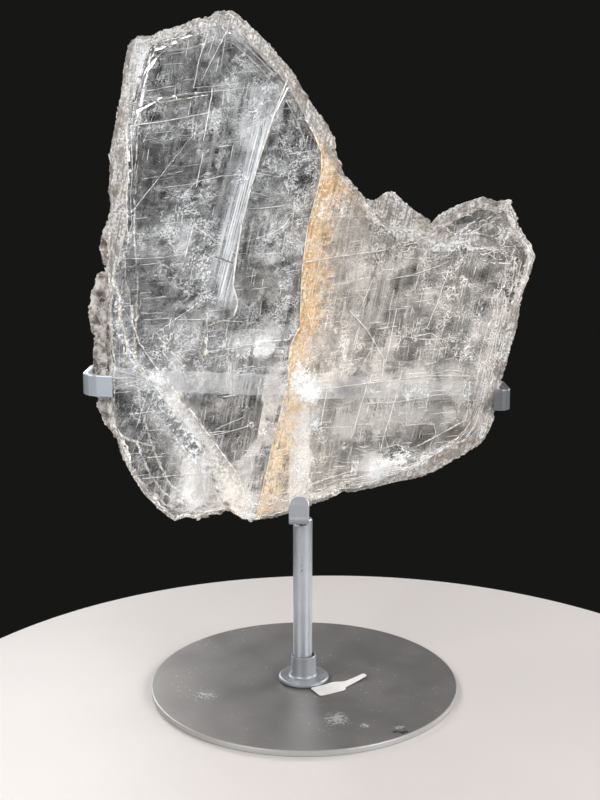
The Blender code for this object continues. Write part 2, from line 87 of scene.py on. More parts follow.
# The lumps behind the left edge lie left of a line and below a height
LUMP_RIGHT_X = -96.5
LUMP_TOP_Z = 246.0
WALL_NORMAL = 0.8  # a broken edge's normal has less depth than this

# Lines on and in the crystal, as (x, z) seen from the front
SEAM = [
    (-24.3, 94.5), (-19.8, 114.6), (-14.9, 136.1), (-8.2, 162.1), (-7.2, 181.3), (-2.2, 191.2), (-1.2, 218.0),
    (-0.7, 222.3), (1.6, 240.0), (6.4, 257.0), (8.1, 265.0), (8.1, 274.4), (4.0, 284.0),
]
RIDGE = [
    (-94.9, 212.0), (-90.2, 206.0), (-90.5, 194.6), (-87.0, 181.3), (-79.0, 168.0), (-68.0, 153.3),
    (-60.5, 142.7), (-51.2, 133.0), (-46.7, 115.6), (-42.9, 104.7),
]
STEP = [
    (-7.6, 309.4), (-11.1, 300.7), (-16.1, 287.4), (-21.2, 272.5), (-25.6, 258.3), (-30.1, 241.5),
    (-32.7, 226.8), (-34.2, 216.8), (-34.7, 211.2), (-32.4, 202.9), (-34.4, 196.3),
]
RIND = [
    (-89.6, 225.2), (-85.3, 241.5), (-85.4, 254.3), (-84.1, 266.5), (-84.6, 284.0), (-82.9, 295.7),
    (-77.9, 312.0), (-71.8, 324.7), (-62.4, 326.5), (-50.7, 331.2), (-39.0, 332.4), (-30.8, 330.8),
    (-23.4, 324.0), (-10.2, 312.1), (-6.9, 305.3),
]
BAND_RIGHT = [(-61.0, 156.0), (-59.3, 153.5), (-46.0, 134.8), (-33.2, 116.4), (-30.0, 106.0)]
# Bright cracks of both crystals, as points, then width and depth of the sliver
CRACKS = [
    ([(-81.9, 297.5), (-56.3, 301.3), (-26.9, 304.6)], 0.50, -9.6),
    ([(-82.8, 286.9), (-64.0, 289.6), (-44.7, 293.1)], 0.75, -9.6),
    ([(-74.7, 303.0), (-61.4, 305.4)], 0.50, -9.4),
    ([(-61.0, 305.4), (-61.4, 299.2)], 0.35, -9.4),
    ([(-78.0, 262.0), (-58.0, 266.0)], 0.30, -6.0),
    ([(-52.0, 260.8), (-40.0, 263.6), (-23.8, 265.1), (-11.3, 263.2)], 0.40, -8.0),
    ([(-58.0, 254.0), (-52.0, 260.8)], 0.40, -8.0),
    ([(-26.6, 248.1), (-11.3, 249.5)], 0.45, -8.5),
    ([(-25.0, 256.0), (-13.0, 253.0)], 0.30, -8.5),
    ([(-88.7, 224.2), (-73.7, 224.7), (-58.2, 226.6)], 0.45, -9.2),
    ([(-48.3, 178.8), (-34.0, 180.6), (-20.0, 183.8), (-6.3, 185.0)], 0.50, -9.8),
    ([(-80.2, 198.0), (-70.0, 198.0)], 0.40, -9.4),
    ([(-78.6, 194.6), (-66.0, 195.4)], 0.40, -9.4),
    ([(-62.0, 194.6), (-46.0, 195.0), (-30.5, 193.6)], 0.35, -9.0),
    ([(-43.6, 304.6), (-45.4, 293.0), (-48.2, 280.0)], 0.65, -9.4),
    ([(-50.3, 313.4), (-52.5, 304.6)], 0.45, -9.0),
    ([(-45.1, 330.0), (-49.4, 318.0), (-51.6, 308.0)], 0.50, -8.6),
    ([(-41.6, 329.0), (-45.6, 318.0)], 0.40, -8.6),
    ([(-48.3, 274.9), (-51.9, 258.3)], 0.45, -9.0),
    ([(-53.6, 240.0), (-57.7, 225.2)], 0.60, -9.4),
    ([(-47.5, 198.0), (-48.3, 178.8)], 0.45, -9.4),
    ([(-53.6, 240.0), (-44.0, 234.0), (-32.6, 226.2)], 0.50, -9.2),
    ([(-44.0, 234.0), (-36.0, 226.8)], 0.40, -9.0),
    ([(-5.1, 246.5), (-9.4, 240.4), (-15.8, 236.4), (-23.4, 233.8), (-31.0, 232.4)], 0.35, -8.6),
    ([(-79.0, 165.0), (-96.0, 170.0)], 0.40, -7.0),
    ([(-79.0, 165.0), (-96.0, 165.4)], 0.35, -7.0),
    ([(-79.0, 165.0), (-94.6, 160.6)], 0.35, -7.0),
    ([(-79.0, 165.0), (-90.8, 175.0)], 0.35, -7.0),
    ([(-77.4, 160.0), (-84.0, 140.0)], 0.30, -7.0),
    ([(-74.0, 160.0), (-81.0, 141.4)], 0.30, -7.0),
    ([(-82.0, 113.4), (-62.0, 115.6), (-47.0, 116.6)], 0.40, -6.6),
    ([(-27.0, 141.6), (-42.0, 137.4), (-52.0, 136.0)], 0.35, -8.2),
    ([(-30.0, 146.0), (-44.0, 139.6)], 0.35, -8.2),
    ([(-22.0, 137.0), (-27.0, 127.0), (-26.0, 119.0), (-30.0, 112.0)], 0.40, -8.0),
    ([(-0.7, 222.4), (18.0, 225.6), (38.9, 228.5)], 0.60, -9.2),
    ([(22.2, 198.9), (30.6, 189.6), (39.3, 175.3), (38.2, 166.7)], 0.60, -9.2),
    ([(45.0, 199.9), (41.8, 182.0), (38.5, 166.7)], 0.55, -9.2),
    ([(9.2, 160.2), (30.9, 163.0), (60.9, 166.7), (81.9, 166.7)], 0.75, -9.2),
    ([(60.9, 166.7), (72.0, 169.6), (83.0, 168.0)], 0.40, -9.0),
    ([(31.0, 152.8), (45.3, 153.3), (77.4, 159.2)], 0.45, -9.2),
    ([(30.9, 161.9), (27.0, 148.0), (23.7, 135.9)], 0.55, -9.2),
    ([(11.1, 159.2), (8.2, 141.7)], 0.50, -9.0),
    ([(45.7, 157.2), (39.8, 136.9), (38.0, 128.0)], 0.55, -9.2),
    ([(39.8, 136.9), (42.6, 128.4)], 0.40, -9.0),
    ([(50.4, 160.2), (50.7, 141.7)], 0.45, -9.2),
    ([(50.7, 141.7), (60.0, 142.4), (65.0, 142.2)], 0.40, -9.2),
    ([(81.9, 163.9), (80.6, 145.5)], 0.60, -9.0),
    ([(64.4, 142.5), (65.6, 137.6), (62.6, 130.8)], 0.45, -9.0),
    ([(10.0, 112.8), (26.0, 114.4)], 0.35, -8.8),
    ([(14.0, 124.0), (20.0, 122.6), (27.0, 122.8)], 0.35, -8.8),
    ([(54.0, 186.0), (62.0, 187.8), (70.0, 183.6)], 0.40, -8.0),
    ([(44.0, 186.6), (56.0, 184.8), (66.0, 184.8)], 0.40, -7.6),
    ([(-2.0, 212.0), (3.6, 190.0)], 0.35, -8.8),
    ([(3.6, 206.0), (8.4, 229.0)], 0.30, -8.6),
    ([(15.6, 226.0), (12.2, 231.6), (17.0, 243.0)], 0.30, -8.4),
    ([(40.0, 214.0), (52.0, 216.4), (62.0, 219.6), (70.0, 223.0)], 0.40, -8.6),
    ([(33.0, 214.0), (26.0, 196.0)], 0.30, -8.0),
    ([(72.0, 224.0), (66.0, 206.0), (60.0, 190.0)], 0.35, -8.2),
]
# Crinkled crests of the two peaks
CREST_LINES = [
    [(65.5, 234.6), (73.0, 236.3), (81.2, 242.9), (91.0, 245.4)],
    [(67.2, 232.2), (76.4, 234.2), (84.8, 233.0), (91.3, 236.3), (100.4, 239.6)],
    [(85.7, 228.8), (93.3, 226.4), (100.9, 225.5), (101.6, 228.8)],
    [(59.0, 228.0), (63.9, 232.2), (68.9, 233.0)],
    [(47.0, 242.9), (52.9, 242.1), (59.6, 237.2), (63.8, 236.3)],
    [(46.3, 236.3), (53.8, 238.8), (63.0, 236.3)],
    [(48.1, 232.2), (56.3, 234.7), (63.8, 234.7)],
    [(92.9, 241.8), (96.9, 237.0), (94.6, 233.2), (88.4, 231.3)],
]
# Edges along which fine laminae run, with the step from each lamina to the next, further in
RIGHT_EDGE = [
    (109.0, 222.6), (105.7, 208.0), (104.0, 199.2), (102.4, 190.3), (99.8, 178.4), (96.8, 164.4),
    (94.3, 150.2), (91.1, 140.0), (86.8, 133.9),
]
BOTTOM_EDGE = [(86.8, 133.9), (79.4, 128.2), (68.1, 121.5), (53.1, 115.8), (35.6, 112.2), (20.5, 109.1)]
LAMINAE = [(RIGHT_EDGE, (-1.5, 0.1), 6), (BOTTOM_EDGE, (-0.3, 1.2), 6)]
# Clear windows and milky clouds as (x, z, half width, half height, strength)
WINDOWS = [
    (-56, 308, 17, 14, 0.8), (-37, 323, 8, 7, 0.7), (-67, 271, 15, 9, 0.6), (-75, 250, 10, 8, 0.5),
    (-75, 209, 13, 13, 0.8), (-71, 195, 12, 6, 0.5), (-23, 216, 11, 10, 0.9), (-33, 145, 21, 10, 1.1),
    (-38, 127, 11, 9, 0.8), (-70, 121, 12, 13, 1.0), (-33, 274, 5, 9, 0.7), (-6, 295, 6, 5, 0.6),
    (-16, 281, 6, 9, 0.6), (-87, 152, 8, 8, 0.6), (-41, 246, 6, 8, 0.8),
    (-20, 250, 11, 8, 0.6), (24, 147, 12, 8, 0.9), (62, 174, 10, 6, 0.8), (44, 197, 5, 8, 0.6),
    (60, 150, 10, 6, 0.7), (80, 243, 9, 5, 0.9), (27, 174, 8, 5, 0.4),
    (30, 130, 5, 5, 0.8), (50, 131, 7, 6, 0.8), (75, 136, 6, 6, 0.8), (-38, 154, 24, 6, 0.7),
    (-65, 225, 10, 8, 0.3),
]
CLOUDS = [
    (-80, 323, 4, 9, 0.9), (-30, 333, 10, 4, 0.9), (-49, 329, 10, 4, 0.8), (-47, 290, 13, 11, 0.3),
    (-26, 296, 12, 14, 0.4), (-75, 233, 15, 9, 0.3), (-57, 232, 12, 9, 0.4), (-15, 240, 12, 14, 0.4),
    (-49, 204, 15, 11, 0.2), (-27, 179, 20, 6, 0.5), (-68, 178, 10, 10, 0.4), (-74, 163, 8, 7, 0.7),
    (-57, 139, 5, 12, 0.6), (-53, 105, 16, 9, 1.0), (-20, 134, 6, 10, 0.15), (-1, 160, 8, 8, 0.7),
    (5, 149, 7, 7, 0.4), (8, 134, 9, 10, 0.1), (13, 225, 13, 10, 0.2), (41, 226, 11, 8, 0.3),
    (56, 219, 13, 9, 0.4), (80, 216, 10, 10, 0.3), (86, 189, 12, 13, 0.12), (13, 189, 15, 12, 0.1),
    (43, 118, 17, 6, 0.8), (68, 124, 10, 7, 0.6), (13, 113, 13, 6, 0.15), (86, 148, 6, 9, 0.3),
    (-30, 99, 18, 6, 0.9), (-88, 168, 9, 7, 0.5), (-3, 134, 6, 14, 0.15), (-8, 110, 7, 9, 0.2),
    (82, 235, 14, 6, 0.9), (63, 234, 7, 5, 0.5),
]
# Panes between cleavage cracks that are clearer or milkier than what is round them, as (x, z) corners
CLEAR_PANES = [
    [(10, 159), (29, 161), (26, 140), (8, 140)],
    [(51, 140), (65, 142), (63, 130), (46, 125)],
    [(39, 180), (54, 180), (50, 165), (39, 167)],
    [(18, 134), (34, 133), (21, 125)],
    [(26, 200), (40, 219), (37, 199), (30, 190), (26, 193)],
    [(46, 219), (57, 221), (52, 209), (43, 208)],
    [(78, 219), (87, 220), (89, 213), (80, 212)],
    [(66, 234), (78, 240), (95, 237), (94, 232), (73, 233)],
    [(-57, 152), (-18, 152), (-22, 133), (-27, 129), (-45, 141)],
    [(-33, 222), (-21, 224), (-14, 204), (-34, 204)],
    [(-40, 271), (-33, 276), (-35, 257), (-40, 243), (-43, 252)],
    [(-85, 276), (-52, 281), (-50, 269), (-55, 259), (-85, 259)],
    [(-82, 257), (-70, 257), (-70, 240), (-86, 240)],
    [(-84, 142), (-66, 146), (-59, 138), (-51, 130), (-50, 123), (-59, 121), (-61, 113), (-73, 113),
     (-84, 125)],
]
MILKY_PANES = [
    [(29, 154), (46, 156), (41, 138), (28, 142)],
    [(52, 152), (71, 155), (67, 142), (52, 141)],
    [(8, 204), (22, 204), (30, 189), (37, 174), (23, 166), (5, 166)],
    [(-36, 182), (-6, 187), (-7, 178), (-37, 174)],
    [(-34, 172), (-7, 173), (-8, 168), (-34, 165)],
    [(-49, 191), (-36, 193), (-37, 178), (-49, 179)],
    [(-28, 226), (-2, 228), (-3, 222), (-31, 222)],
    [(-59, 121), (-50, 123), (-47, 104), (-54, 96), (-65, 93), (-73, 99), (-82, 110), (-61, 113)],
]
# Even milk without gaps, as strength and (x, z) corners: the lower lobe, the ridge's foot, the left of the
# step and the bed above the strap
EVEN_PANES = [
    (0.72, [(-59, 128), (-51, 123), (-48, 112), (-46, 105), (-53, 100), (-67, 98), (-73, 105), (-78, 111),
            (-61, 112)]),
    (0.36, [(-41, 118), (-34, 112), (-24, 107), (-26, 95), (-39, 97)]),
    (0.22, [(-27, 306), (-9, 308), (-16, 286), (-20, 276), (-29, 276), (-31, 291)]),
    (0.20, [(-32, 190), (-7, 192), (-8, 184), (-36, 181)]),
]
# Stains of iron right of the seam and one near the right edge, as (x, z, half width, half height, strength)
RUST_SPOTS = [
    (11, 268, 4, 10, 0.85), (17, 257, 6, 5, 0.7), (9, 237, 6, 5, 0.55), (8, 216, 6, 8, 0.6),
    (3, 196, 4, 8, 0.4), (-3, 151, 5, 4, 0.8), (-9, 128, 4, 14, 0.45), (-14, 104, 4, 5, 0.5),
    (84, 142, 1.8, 2.6, 0.9),
]
# Crusts of frost as (x, z, half width, half height, strength)
FROST_CLUSTERS = [
    (12, 252, 5, 3, 0.6), (8, 246, 4, 4, 0.6), (18, 247, 3, 4, 0.5), (-2, 164, 7, 7, 1.0),
    (3, 157, 6, 5, 0.9), (6, 142, 4, 4, 0.8), (24, 120, 3, 4, 0.6), (20, 131, 3, 3, 0.5),
    (41, 121, 7, 5, 0.9), (49, 126, 4, 5, 0.8), (35, 116, 4, 4, 0.9), (59, 125, 5, 3, 0.8),
    (68, 128, 4, 2, 0.7), (44, 113, 8, 2, 0.7), (-3, 119, 2, 11, 0.5), (57, 159, 6, 3, 0.6),
    (81, 159, 2, 7, 0.7), (51, 156, 2, 4, 0.6), (55, 235, 7, 3, 0.8), (64, 230, 4, 3, 0.9),
    (80, 232, 8, 2, 0.8), (34, 245, 2, 5, 0.5), (-14, 104, 5, 2, 0.7), (18, 108, 8, 2, 0.6),
    (-72, 152, 5, 4, 1.0), (-66, 147, 4, 3, 0.9), (-59, 142, 4, 3, 0.9), (-75, 164, 5, 3, 1.0),
    (-21, 139, 3, 3, 0.5), (-16, 142, 5, 2, 0.5), (-27, 142, 3, 2, 0.7), (-30, 151, 3, 2, 0.6),
    (-32, 134, 3, 3, 0.5), (-3, 174, 1, 7, 0.7), (85, 197, 3, 3, 0.6), (80, 182, 2, 7, 0.5),
    (-29, 263, 5, 4, 0.6), (-49, 222, 5, 7, 0.5), (82, 233, 8, 5, 1.2), (-79.5, 316, 3.5, 8, 1.4),
    (-76, 325.5, 4, 2.5, 1.4), (47, 238, 9, 3, 1.0),
]


class SeleniteSettings(bpy.types.PropertyGroup):
    """Looks of the crystal."""

    refraction: bpy.props.FloatProperty(
        name="Refraction", description="Index of refraction of the clear crystal",
        default=1.52, min=1.0, max=2.0)
    milk_colour: bpy.props.FloatVectorProperty(
        name="Milk Colour", description="Colour of the veils in the left crystal", subtype="COLOR",
        size=3, min=0.0, max=1.0, default=(0.86, 0.90, 0.945))
    warm_colour: bpy.props.FloatVectorProperty(
        name="Warm Milk Colour", description="Colour of the veils in the right crystal", subtype="COLOR",
        size=3, min=0.0, max=1.0, default=(0.82, 0.76, 0.70))
    rust_colour: bpy.props.FloatVectorProperty(
        name="Rust Colour", description="Colour of the iron stain where it is strongest", subtype="COLOR",
        size=3, min=0.0, max=1.0, default=(0.47, 0.23, 0.045))
    ochre_colour: bpy.props.FloatVectorProperty(
        name="Ochre Colour", description="Colour of the iron stain near the bottom", subtype="COLOR",
        size=3, min=0.0, max=1.0, default=(0.57, 0.39, 0.165))
    rind_colour: bpy.props.FloatVectorProperty(
        name="Rind Colour", description="Colour of the frosted broken edge", subtype="COLOR",
        size=3, min=0.0, max=1.0, default=(0.93, 0.89, 0.84))
    grain_size: bpy.props.FloatProperty(
        name="Grain Size", description="Typical width of a grain of frost", unit="LENGTH", default=0.00075,
        min=0.0002, max=0.003)
    rim_grains: bpy.props.IntProperty(
        name="Rim Grains", description="Number of frost grains on the broken edge",
        default=3200, min=0, max=9000)
    rim_flakes: bpy.props.IntProperty(
        name="Rim Flakes", description="Number of lamina flakes on the broken edge",
        default=3400, min=0, max=6000)


class StandSettings(bpy.types.PropertyGroup):
    """Looks of the stand and its tag."""

    paint_colour: bpy.props.FloatVectorProperty(
        name="Paint Colour", description="Grey of the stand's paint", subtype="COLOR",
        size=3, min=0.0, max=1.0, default=(0.235, 0.226, 0.222))
    hook_colour: bpy.props.FloatVectorProperty(
        name="Hook Colour", description="Lighter grey of the hooks and the strap", subtype="COLOR",
        size=3, min=0.0, max=1.0, default=(0.36, 0.38, 0.41))
    rod_colour: bpy.props.FloatVectorProperty(
        name="Rod Colour", description="Pale grey of the upright rod", subtype="COLOR",
        size=3, min=0.0, max=1.0, default=(0.60, 0.65, 0.71))
    paper_colour: bpy.props.FloatVectorProperty(
        name="Paper Colour", description="Colour of the blank tag", subtype="COLOR",
        size=3, min=0.0, max=1.0, default=(0.87, 0.84, 0.83))
    tag_curl: bpy.props.FloatProperty(
        name="Tag Curl", description="How far the tag's ends lift off the disc", unit="LENGTH",
        default=0.0011,
        min=0.0, max=0.004)


class StageSettings(bpy.types.PropertyGroup):
    """Table, light and camera."""

    table_radius: bpy.props.FloatProperty(
        name="Table Radius", description="Radius of the pale round table", unit="LENGTH", default=0.229,
        min=0.1, max=2.0)
    table_colour: bpy.props.FloatVectorProperty(
        name="Table Colour", description="Colour of the table", subtype="COLOR",
        size=3, min=0.0, max=1.0, default=(0.73, 0.685, 0.67))
    camera_height: bpy.props.FloatProperty(
        name="Camera Height", description="Height of the camera above the table", unit="LENGTH",
        default=0.2684)
    camera_distance: bpy.props.FloatProperty(
        name="Camera Distance", description="Distance in front of the disc's centre", unit="LENGTH",
        default=0.593)
    lens: bpy.props.FloatProperty(
        name="Lens", description="Focal length in millimetres", default=54.0, min=10.0, max=300.0)


def deselect_all():
    for thing in bpy.context.view_layer.objects:
        thing.select_set(False)


def only(thing):
    """Makes one object the selected and active one."""
    deselect_all()
    thing.select_set(True)
    bpy.context.view_layer.objects.active = thing


def named(name):
    """Names the object that an add operator has just made."""
    made = bpy.context.active_object
    made.name = name
    made.data.name = name
    return made


def apply_place():
    bpy.ops.object.transform_apply(location=True, rotation=True, scale=True)


def apply_modifier(thing, modifier):
    only(thing)
    bpy.ops.object.modifier_apply(modifier=modifier.name)


def finish_piece(thing, materials):
    """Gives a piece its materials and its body."""
    thing.data.materials.clear()
    for material in materials:
        thing.data.materials.append(material)
    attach(thing, "root")


def merged_copy(node, name):
    """Own copy of a node's mesh, with its loose triangles merged and its flat faces made whole."""
    made = bpy.data.objects.new(name, frame["nodes"][node].data.copy())
    made.data.name = name
    bpy.context.scene.collection.objects.link(made)
    only(made)
    bpy.ops.mesh.customdata_custom_splitnormals_clear()
    bpy.ops.object.mode_set(mode="EDIT")
    bpy.ops.mesh.select_all(action="SELECT")
    bpy.ops.mesh.remove_doubles(threshold=1e-6)
    bpy.ops.mesh.dissolve_limited(angle_limit=math.radians(0.2))
    bpy.ops.object.mode_set(mode="OBJECT")
    return made


def places_of(thing):
    """The vertices of an object's mesh as an array of rows, in millimetres."""
    flat = np.zeros(len(thing.data.vertices) * 3)
    thing.data.vertices.foreach_get("co", flat)
    return flat.reshape(-1, 3) / MM


def set_places(thing, rows):
    thing.data.vertices.foreach_set("co", (rows * MM).ravel())
    thing.data.update()


def paint_weight(thing, name, values):
    """Keeps one number per vertex, which the materials read by its name."""
    layer = thing.data.attributes.new(name, "FLOAT", "POINT")
    layer.data.foreach_set("value", np.asarray(values, np.float32))


def smoothstep(low, high, value):
    share = np.clip((value - low) / (high - low), 0.0, 1.0)
    return share * share * (3.0 - 2.0 * share)


def patch(x, z, spot):
    """Soft oval patch: its strength in the middle, nothing well outside it."""
    centre_x, centre_z, half_width, half_height, strength = spot
    away = ((x - centre_x) / half_width) ** 2 + ((z - centre_z) / half_height) ** 2
    return strength * np.exp(-0.9 * away ** 1.3)


def line_distance(points, x, z):
    """Distance in the front view from each place to a line through points."""
    nearest = np.full(np.shape(x), 1e9)
    for (x0, z0), (x1, z1) in zip(points, points[1:]):
        along_x, along_z = x1 - x0, z1 - z0
        share = np.clip(((x - x0) * along_x + (z - z0) * along_z) / (along_x ** 2 + along_z ** 2), 0.0, 1.0)
        nearest = np.minimum(nearest, np.hypot(x - x0 - share * along_x, z - z0 - share * along_z))
    return nearest


def seam_x(z):
    """Where the seam's sharp edge runs at a height."""
    return np.interp(z, [point[1] for point in SEAM], [point[0] for point in SEAM])


def line_x(points, z):
    """Where a line that climbs steadily runs at a height."""
    ordered = sorted(points, key=lambda point: point[1])
    return np.interp(z, [point[1] for point in ordered], [point[0] for point in ordered])


class Finish:
    """A material's node tree, with short ways to add the nodes that the finishes share."""

    def __init__(self, name):
        self.material = bpy.data.materials.new(name)
        self.material.use_nodes = True
        self.tree = self.material.node_tree
        self.shader = self.tree.nodes["Principled BSDF"]
        self.place = self.add("ShaderNodeTexCoord").outputs["Object"]

    def add(self, kind, settings=None, inputs=None):
        """New node with its settings, and its inputs linked or set by name or number."""
        node = self.tree.nodes.new(kind)
        for key, value in (settings or {}).items():
            setattr(node, key, value)
        for key, value in (inputs or {}).items():
            self.feed(node.inputs[key], value)
        return node

    def feed(self, socket, value):
        if isinstance(value, bpy.types.NodeSocket):
            self.tree.links.new(value, socket)
        else:
            socket.default_value = value

    def surface(self, **values):
        """Sets or links the shader's own sockets, named in lower case with underscores."""
        for key, value in values.items():
            socket = self.shader.inputs[key.replace("_", " ").title().replace("Ior", "IOR")]
            if not isinstance(value, bpy.types.NodeSocket) and socket.type == "RGBA":
                value = (*value[:3], 1.0)
            self.feed(socket, value)

    def weight(self, name):
        return self.add("ShaderNodeAttribute", {"attribute_name": name}).outputs["Fac"]

    def math(self, operation, first, second=0.0, clamp=False):
        return self.add("ShaderNodeMath", {"operation": operation, "use_clamp": clamp},
                        {0: first, 1: second}).outputs[0]

    def mapped(self, turn_deg=(0, 0, 0), stretch=(1, 1, 1), shift=(0, 0, 0)):
        """Object coordinates turned about the axes, then stretched."""
        turned = self.add("ShaderNodeMapping", None, {
            "Vector": self.place, "Rotation": [math.radians(angle) for angle in turn_deg]}).outputs[0]
        return self.add("ShaderNodeMapping", None, {
            "Vector": turned, "Scale": stretch, "Location": shift}).outputs[0]

    def cleaved(self, across, along, shift=(0.0, 0.0)):
        """Front view coordinates on axes square to the steep and to the level cleavage traces."""
        steep = math.radians(STEEP_TRACE_DEG)
        level = math.radians(LEVEL_TRACE_DEG)
        axes = ((math.sin(steep), 0.0, -math.cos(steep)), (-math.sin(level), 0.0, math.cos(level)))
        parts = [self.add("ShaderNodeVectorMath", {"operation": "DOT_PRODUCT"},
                          {0: self.place, 1: axis}).outputs["Value"] for axis in axes]
        pair = self.add("ShaderNodeCombineXYZ", None, {0: parts[0], 1: parts[1]}).outputs[0]
        return self.add("ShaderNodeMapping", None, {
            "Vector": pair, "Scale": (across, along, 1.0), "Location": (*shift, 0.0)}).outputs[0]

    def panes(self, vector):
        """Random grey for each straight-sided cell."""
        tone = self.add("ShaderNodeTexVoronoi", {"voronoi_dimensions": "2D", "distance": "CHEBYCHEV"}, {
            "Vector": vector, "Scale": 1.0, "Randomness": 0.9}).outputs["Color"]
        return self.ramp(tone, [(0.3, 0.0), (0.7, 1.0)])

    def noise(self, vector, scale, detail=4.0, roughness=0.55, distortion=0.0, flat=False):
        """Cloudy pattern. A flat one reads only the first two coordinates and is quicker."""
        return self.add("ShaderNodeTexNoise", {"noise_dimensions": "2D" if flat else "3D"}, {
            "Vector": vector, "Scale": scale, "Detail": detail, "Roughness": roughness,
            "Distortion": distortion}).outputs["Fac"]

    def curls(self, vector, scale, width):
        """Curly hair-fine lines along the level lines of a noise."""
        level = self.noise(vector, scale, 2.0, 0.5, flat=True)
        return self.ramp(level, [(0.5 - width, 0.0), (0.49, 1.0), (0.51, 1.0), (0.5 + width, 0.0)])

    def scaled(self, value, low, high):
        """A value from 0 to 1 as one from low to high."""
        return self.math("ADD", self.math("MULTIPLY", value, high - low), low)

    def product(self, *values):
        result = values[0]
        for value in values[1:]:
            result = self.math("MULTIPLY", result, value)
        return result

    def ramp(self, value, stops):
        """Grey or coloured stops along a value."""
        node = self.add("ShaderNodeValToRGB", None, {"Fac": value})
        marks = node.color_ramp.elements
        while len(marks) < len(stops):
            marks.new(0.5)
        for mark, (position, colour) in zip(marks, stops):
            mark.position = position
            mark.color = (*colour, 1.0) if isinstance(colour, tuple) else (colour, colour, colour, 1.0)
        return node.outputs["Color"]

    def mix(self, share, first, second):
        """Blend of two colours."""
        node = self.add("ShaderNodeMix", {"data_type": "RGBA"})
        self.feed(node.inputs[0], share)
        for number, colour in ((6, first), (7, second)):
            self.feed(node.inputs[number], (*colour, 1.0) if isinstance(colour, tuple) else colour)
        return node.outputs[2]

    def spot(self, centre, reach):
        """1 at a place, fading to 0 at a distance along each axis."""
        apart = self.add("ShaderNodeMapping", {"vector_type": "TEXTURE"}, {
            "Vector": self.place, "Location": centre, "Scale": reach}).outputs[0]
        length = self.add("ShaderNodeVectorMath", {"operation": "LENGTH"}, {0: apart}).outputs["Value"]
        return self.math("SUBTRACT", 1.0, length, clamp=True)

    def absorb(self):
        """Fills the crystal with a faint warm tint."""
        volume = self.add("ShaderNodeVolumeAbsorption", None, {
            "Color": (0.95, 0.92, 0.87, 1.0), "Density": 6.0})
        self.tree.links.new(volume.outputs[0], self.tree.nodes["Material Output"].inputs["Volume"])

    def bump(self, height, strength, distance):
        return self.add("ShaderNodeBump", None, {
            "Height": height, "Strength": strength, "Distance": distance}).outputs["Normal"]


def brighter(colour, factor):
    return tuple(min(1.0, part * factor) for part in colour)


def clear_crystal(settings):
    """See-through gypsum with faint growth lines and cleavage traces on its faces."""
    finish = Finish("clear_selenite")
    steep = finish.noise(finish.mapped((0, STEEP_TRACE_DEG - 90, 0), (900, 300, 22)), 1.0, 3.0)
    level = finish.noise(finish.mapped((0, LEVEL_TRACE_DEG, 0), (28, 300, 800)), 1.0, 3.0)
    pits = finish.noise(finish.place, 420.0, 5.0, 0.65)
    relief = finish.math("ADD", finish.math("ADD", steep, level), finish.math("MULTIPLY", pits, 0.8))
    finish.surface(
        base_color=(0.985, 0.98, 0.97), ior=settings.refraction, transmission_weight=1.0,
        roughness=finish.ramp(pits, [(0.35, 0.03), (0.72, 0.13)]),
        normal=finish.bump(relief, 0.22, 0.0002))
    finish.absorb()
    return finish.material


def frosted_crystal(settings):
    """Broken edge: the same crystal under a rough, white to beige skin with fine lamina lines, and painted
    shade in the low spots of its grain and along its lines.
    """
    finish = Finish("frosted_selenite")
    lines = finish.noise(finish.mapped((0, 0, 0), (90, 1400, 90)), 1.0, 3.0, 0.6)
    steep = finish.noise(finish.cleaved(900, 60), 1.0, 3.0, 0.6, flat=True)
    patches = finish.noise(finish.place, 110.0, 4.0)
    grain = finish.noise(finish.place, 900.0, 3.0, 0.7)
    tone = finish.ramp(patches, [(0.38, (0.50, 0.44, 0.385)), (0.48, tuple(settings.rind_colour)),
                                 (0.58, (0.99, 0.99, 0.99))])
    # Painted shade: the grain's low spots and the lamina and cleavage lines are darkened towards a dark brown
    # grey.
    painted_shade_hollows = finish.math("MAXIMUM", finish.ramp(grain, [(0.44, 1.0), (0.52, 0.0)]),
                          finish.math("MAXIMUM", finish.ramp(steep, [(0.40, 1.0), (0.48, 0.0)]),
                                      finish.ramp(lines, [(0.38, 1.0), (0.46, 0.0)])))
    relief = finish.math("ADD", lines, grain)
    finish.surface(
        base_color=finish.mix(finish.math("MULTIPLY", painted_shade_hollows, 0.82), tone, (0.22, 0.20, 0.18)),
        ior=settings.refraction, transmission_weight=0.25,
        roughness=finish.ramp(grain, [(0.3, 0.25), (0.7, 0.6)]),
        normal=finish.bump(relief, 0.8, 0.0005))
    finish.absorb()
    return finish.material


def lumpy_crystal(settings):
    """Lumps behind the left edge: near black to brown where their bumps are low, between white to beige ribs.
    """
    finish = Finish("lumpy_selenite")
    hollow = finish.noise(finish.place, 150.0, 5.0, 0.65)
    ribs = finish.noise(finish.place, 210.0, 3.0, 0.6)
    grain = finish.noise(finish.place, 900.0, 3.0, 0.7)
    tone = finish.ramp(hollow, [(0.42, (0.13, 0.115, 0.10)), (0.52, (0.42, 0.37, 0.33)),
                                (0.60, (0.90, 0.86, 0.82))])
    ribbed = finish.ramp(ribs, [(0.46, 0.0), (0.50, 0.8), (0.54, 0.0)])
    finish.surface(
        base_color=finish.mix(ribbed, tone, tuple(settings.rind_colour)), roughness=0.35,
        normal=finish.bump(finish.math("ADD", hollow, grain), 0.8, 0.0006))
    return finish.material


def veil_colour(finish, settings):
    """White, warmer towards the right crystal, and stained near the seam."""
    cool_to_warm = finish.mix(finish.weight("warm"), tuple(settings.milk_colour),
                              tuple(settings.warm_colour))
    stain = finish.mix(0.5, tuple(settings.ochre_colour), tuple(settings.rust_colour))
    fleck = finish.noise(finish.cleaved(1.0, 1.0), 330.0, 4.0, 0.7, flat=True)
    fleck = finish.ramp(fleck, [(0.40, 0.3), (0.58, 1.0)])
    return finish.mix(finish.product(finish.weight("rust"), fleck), cool_to_warm, stain)


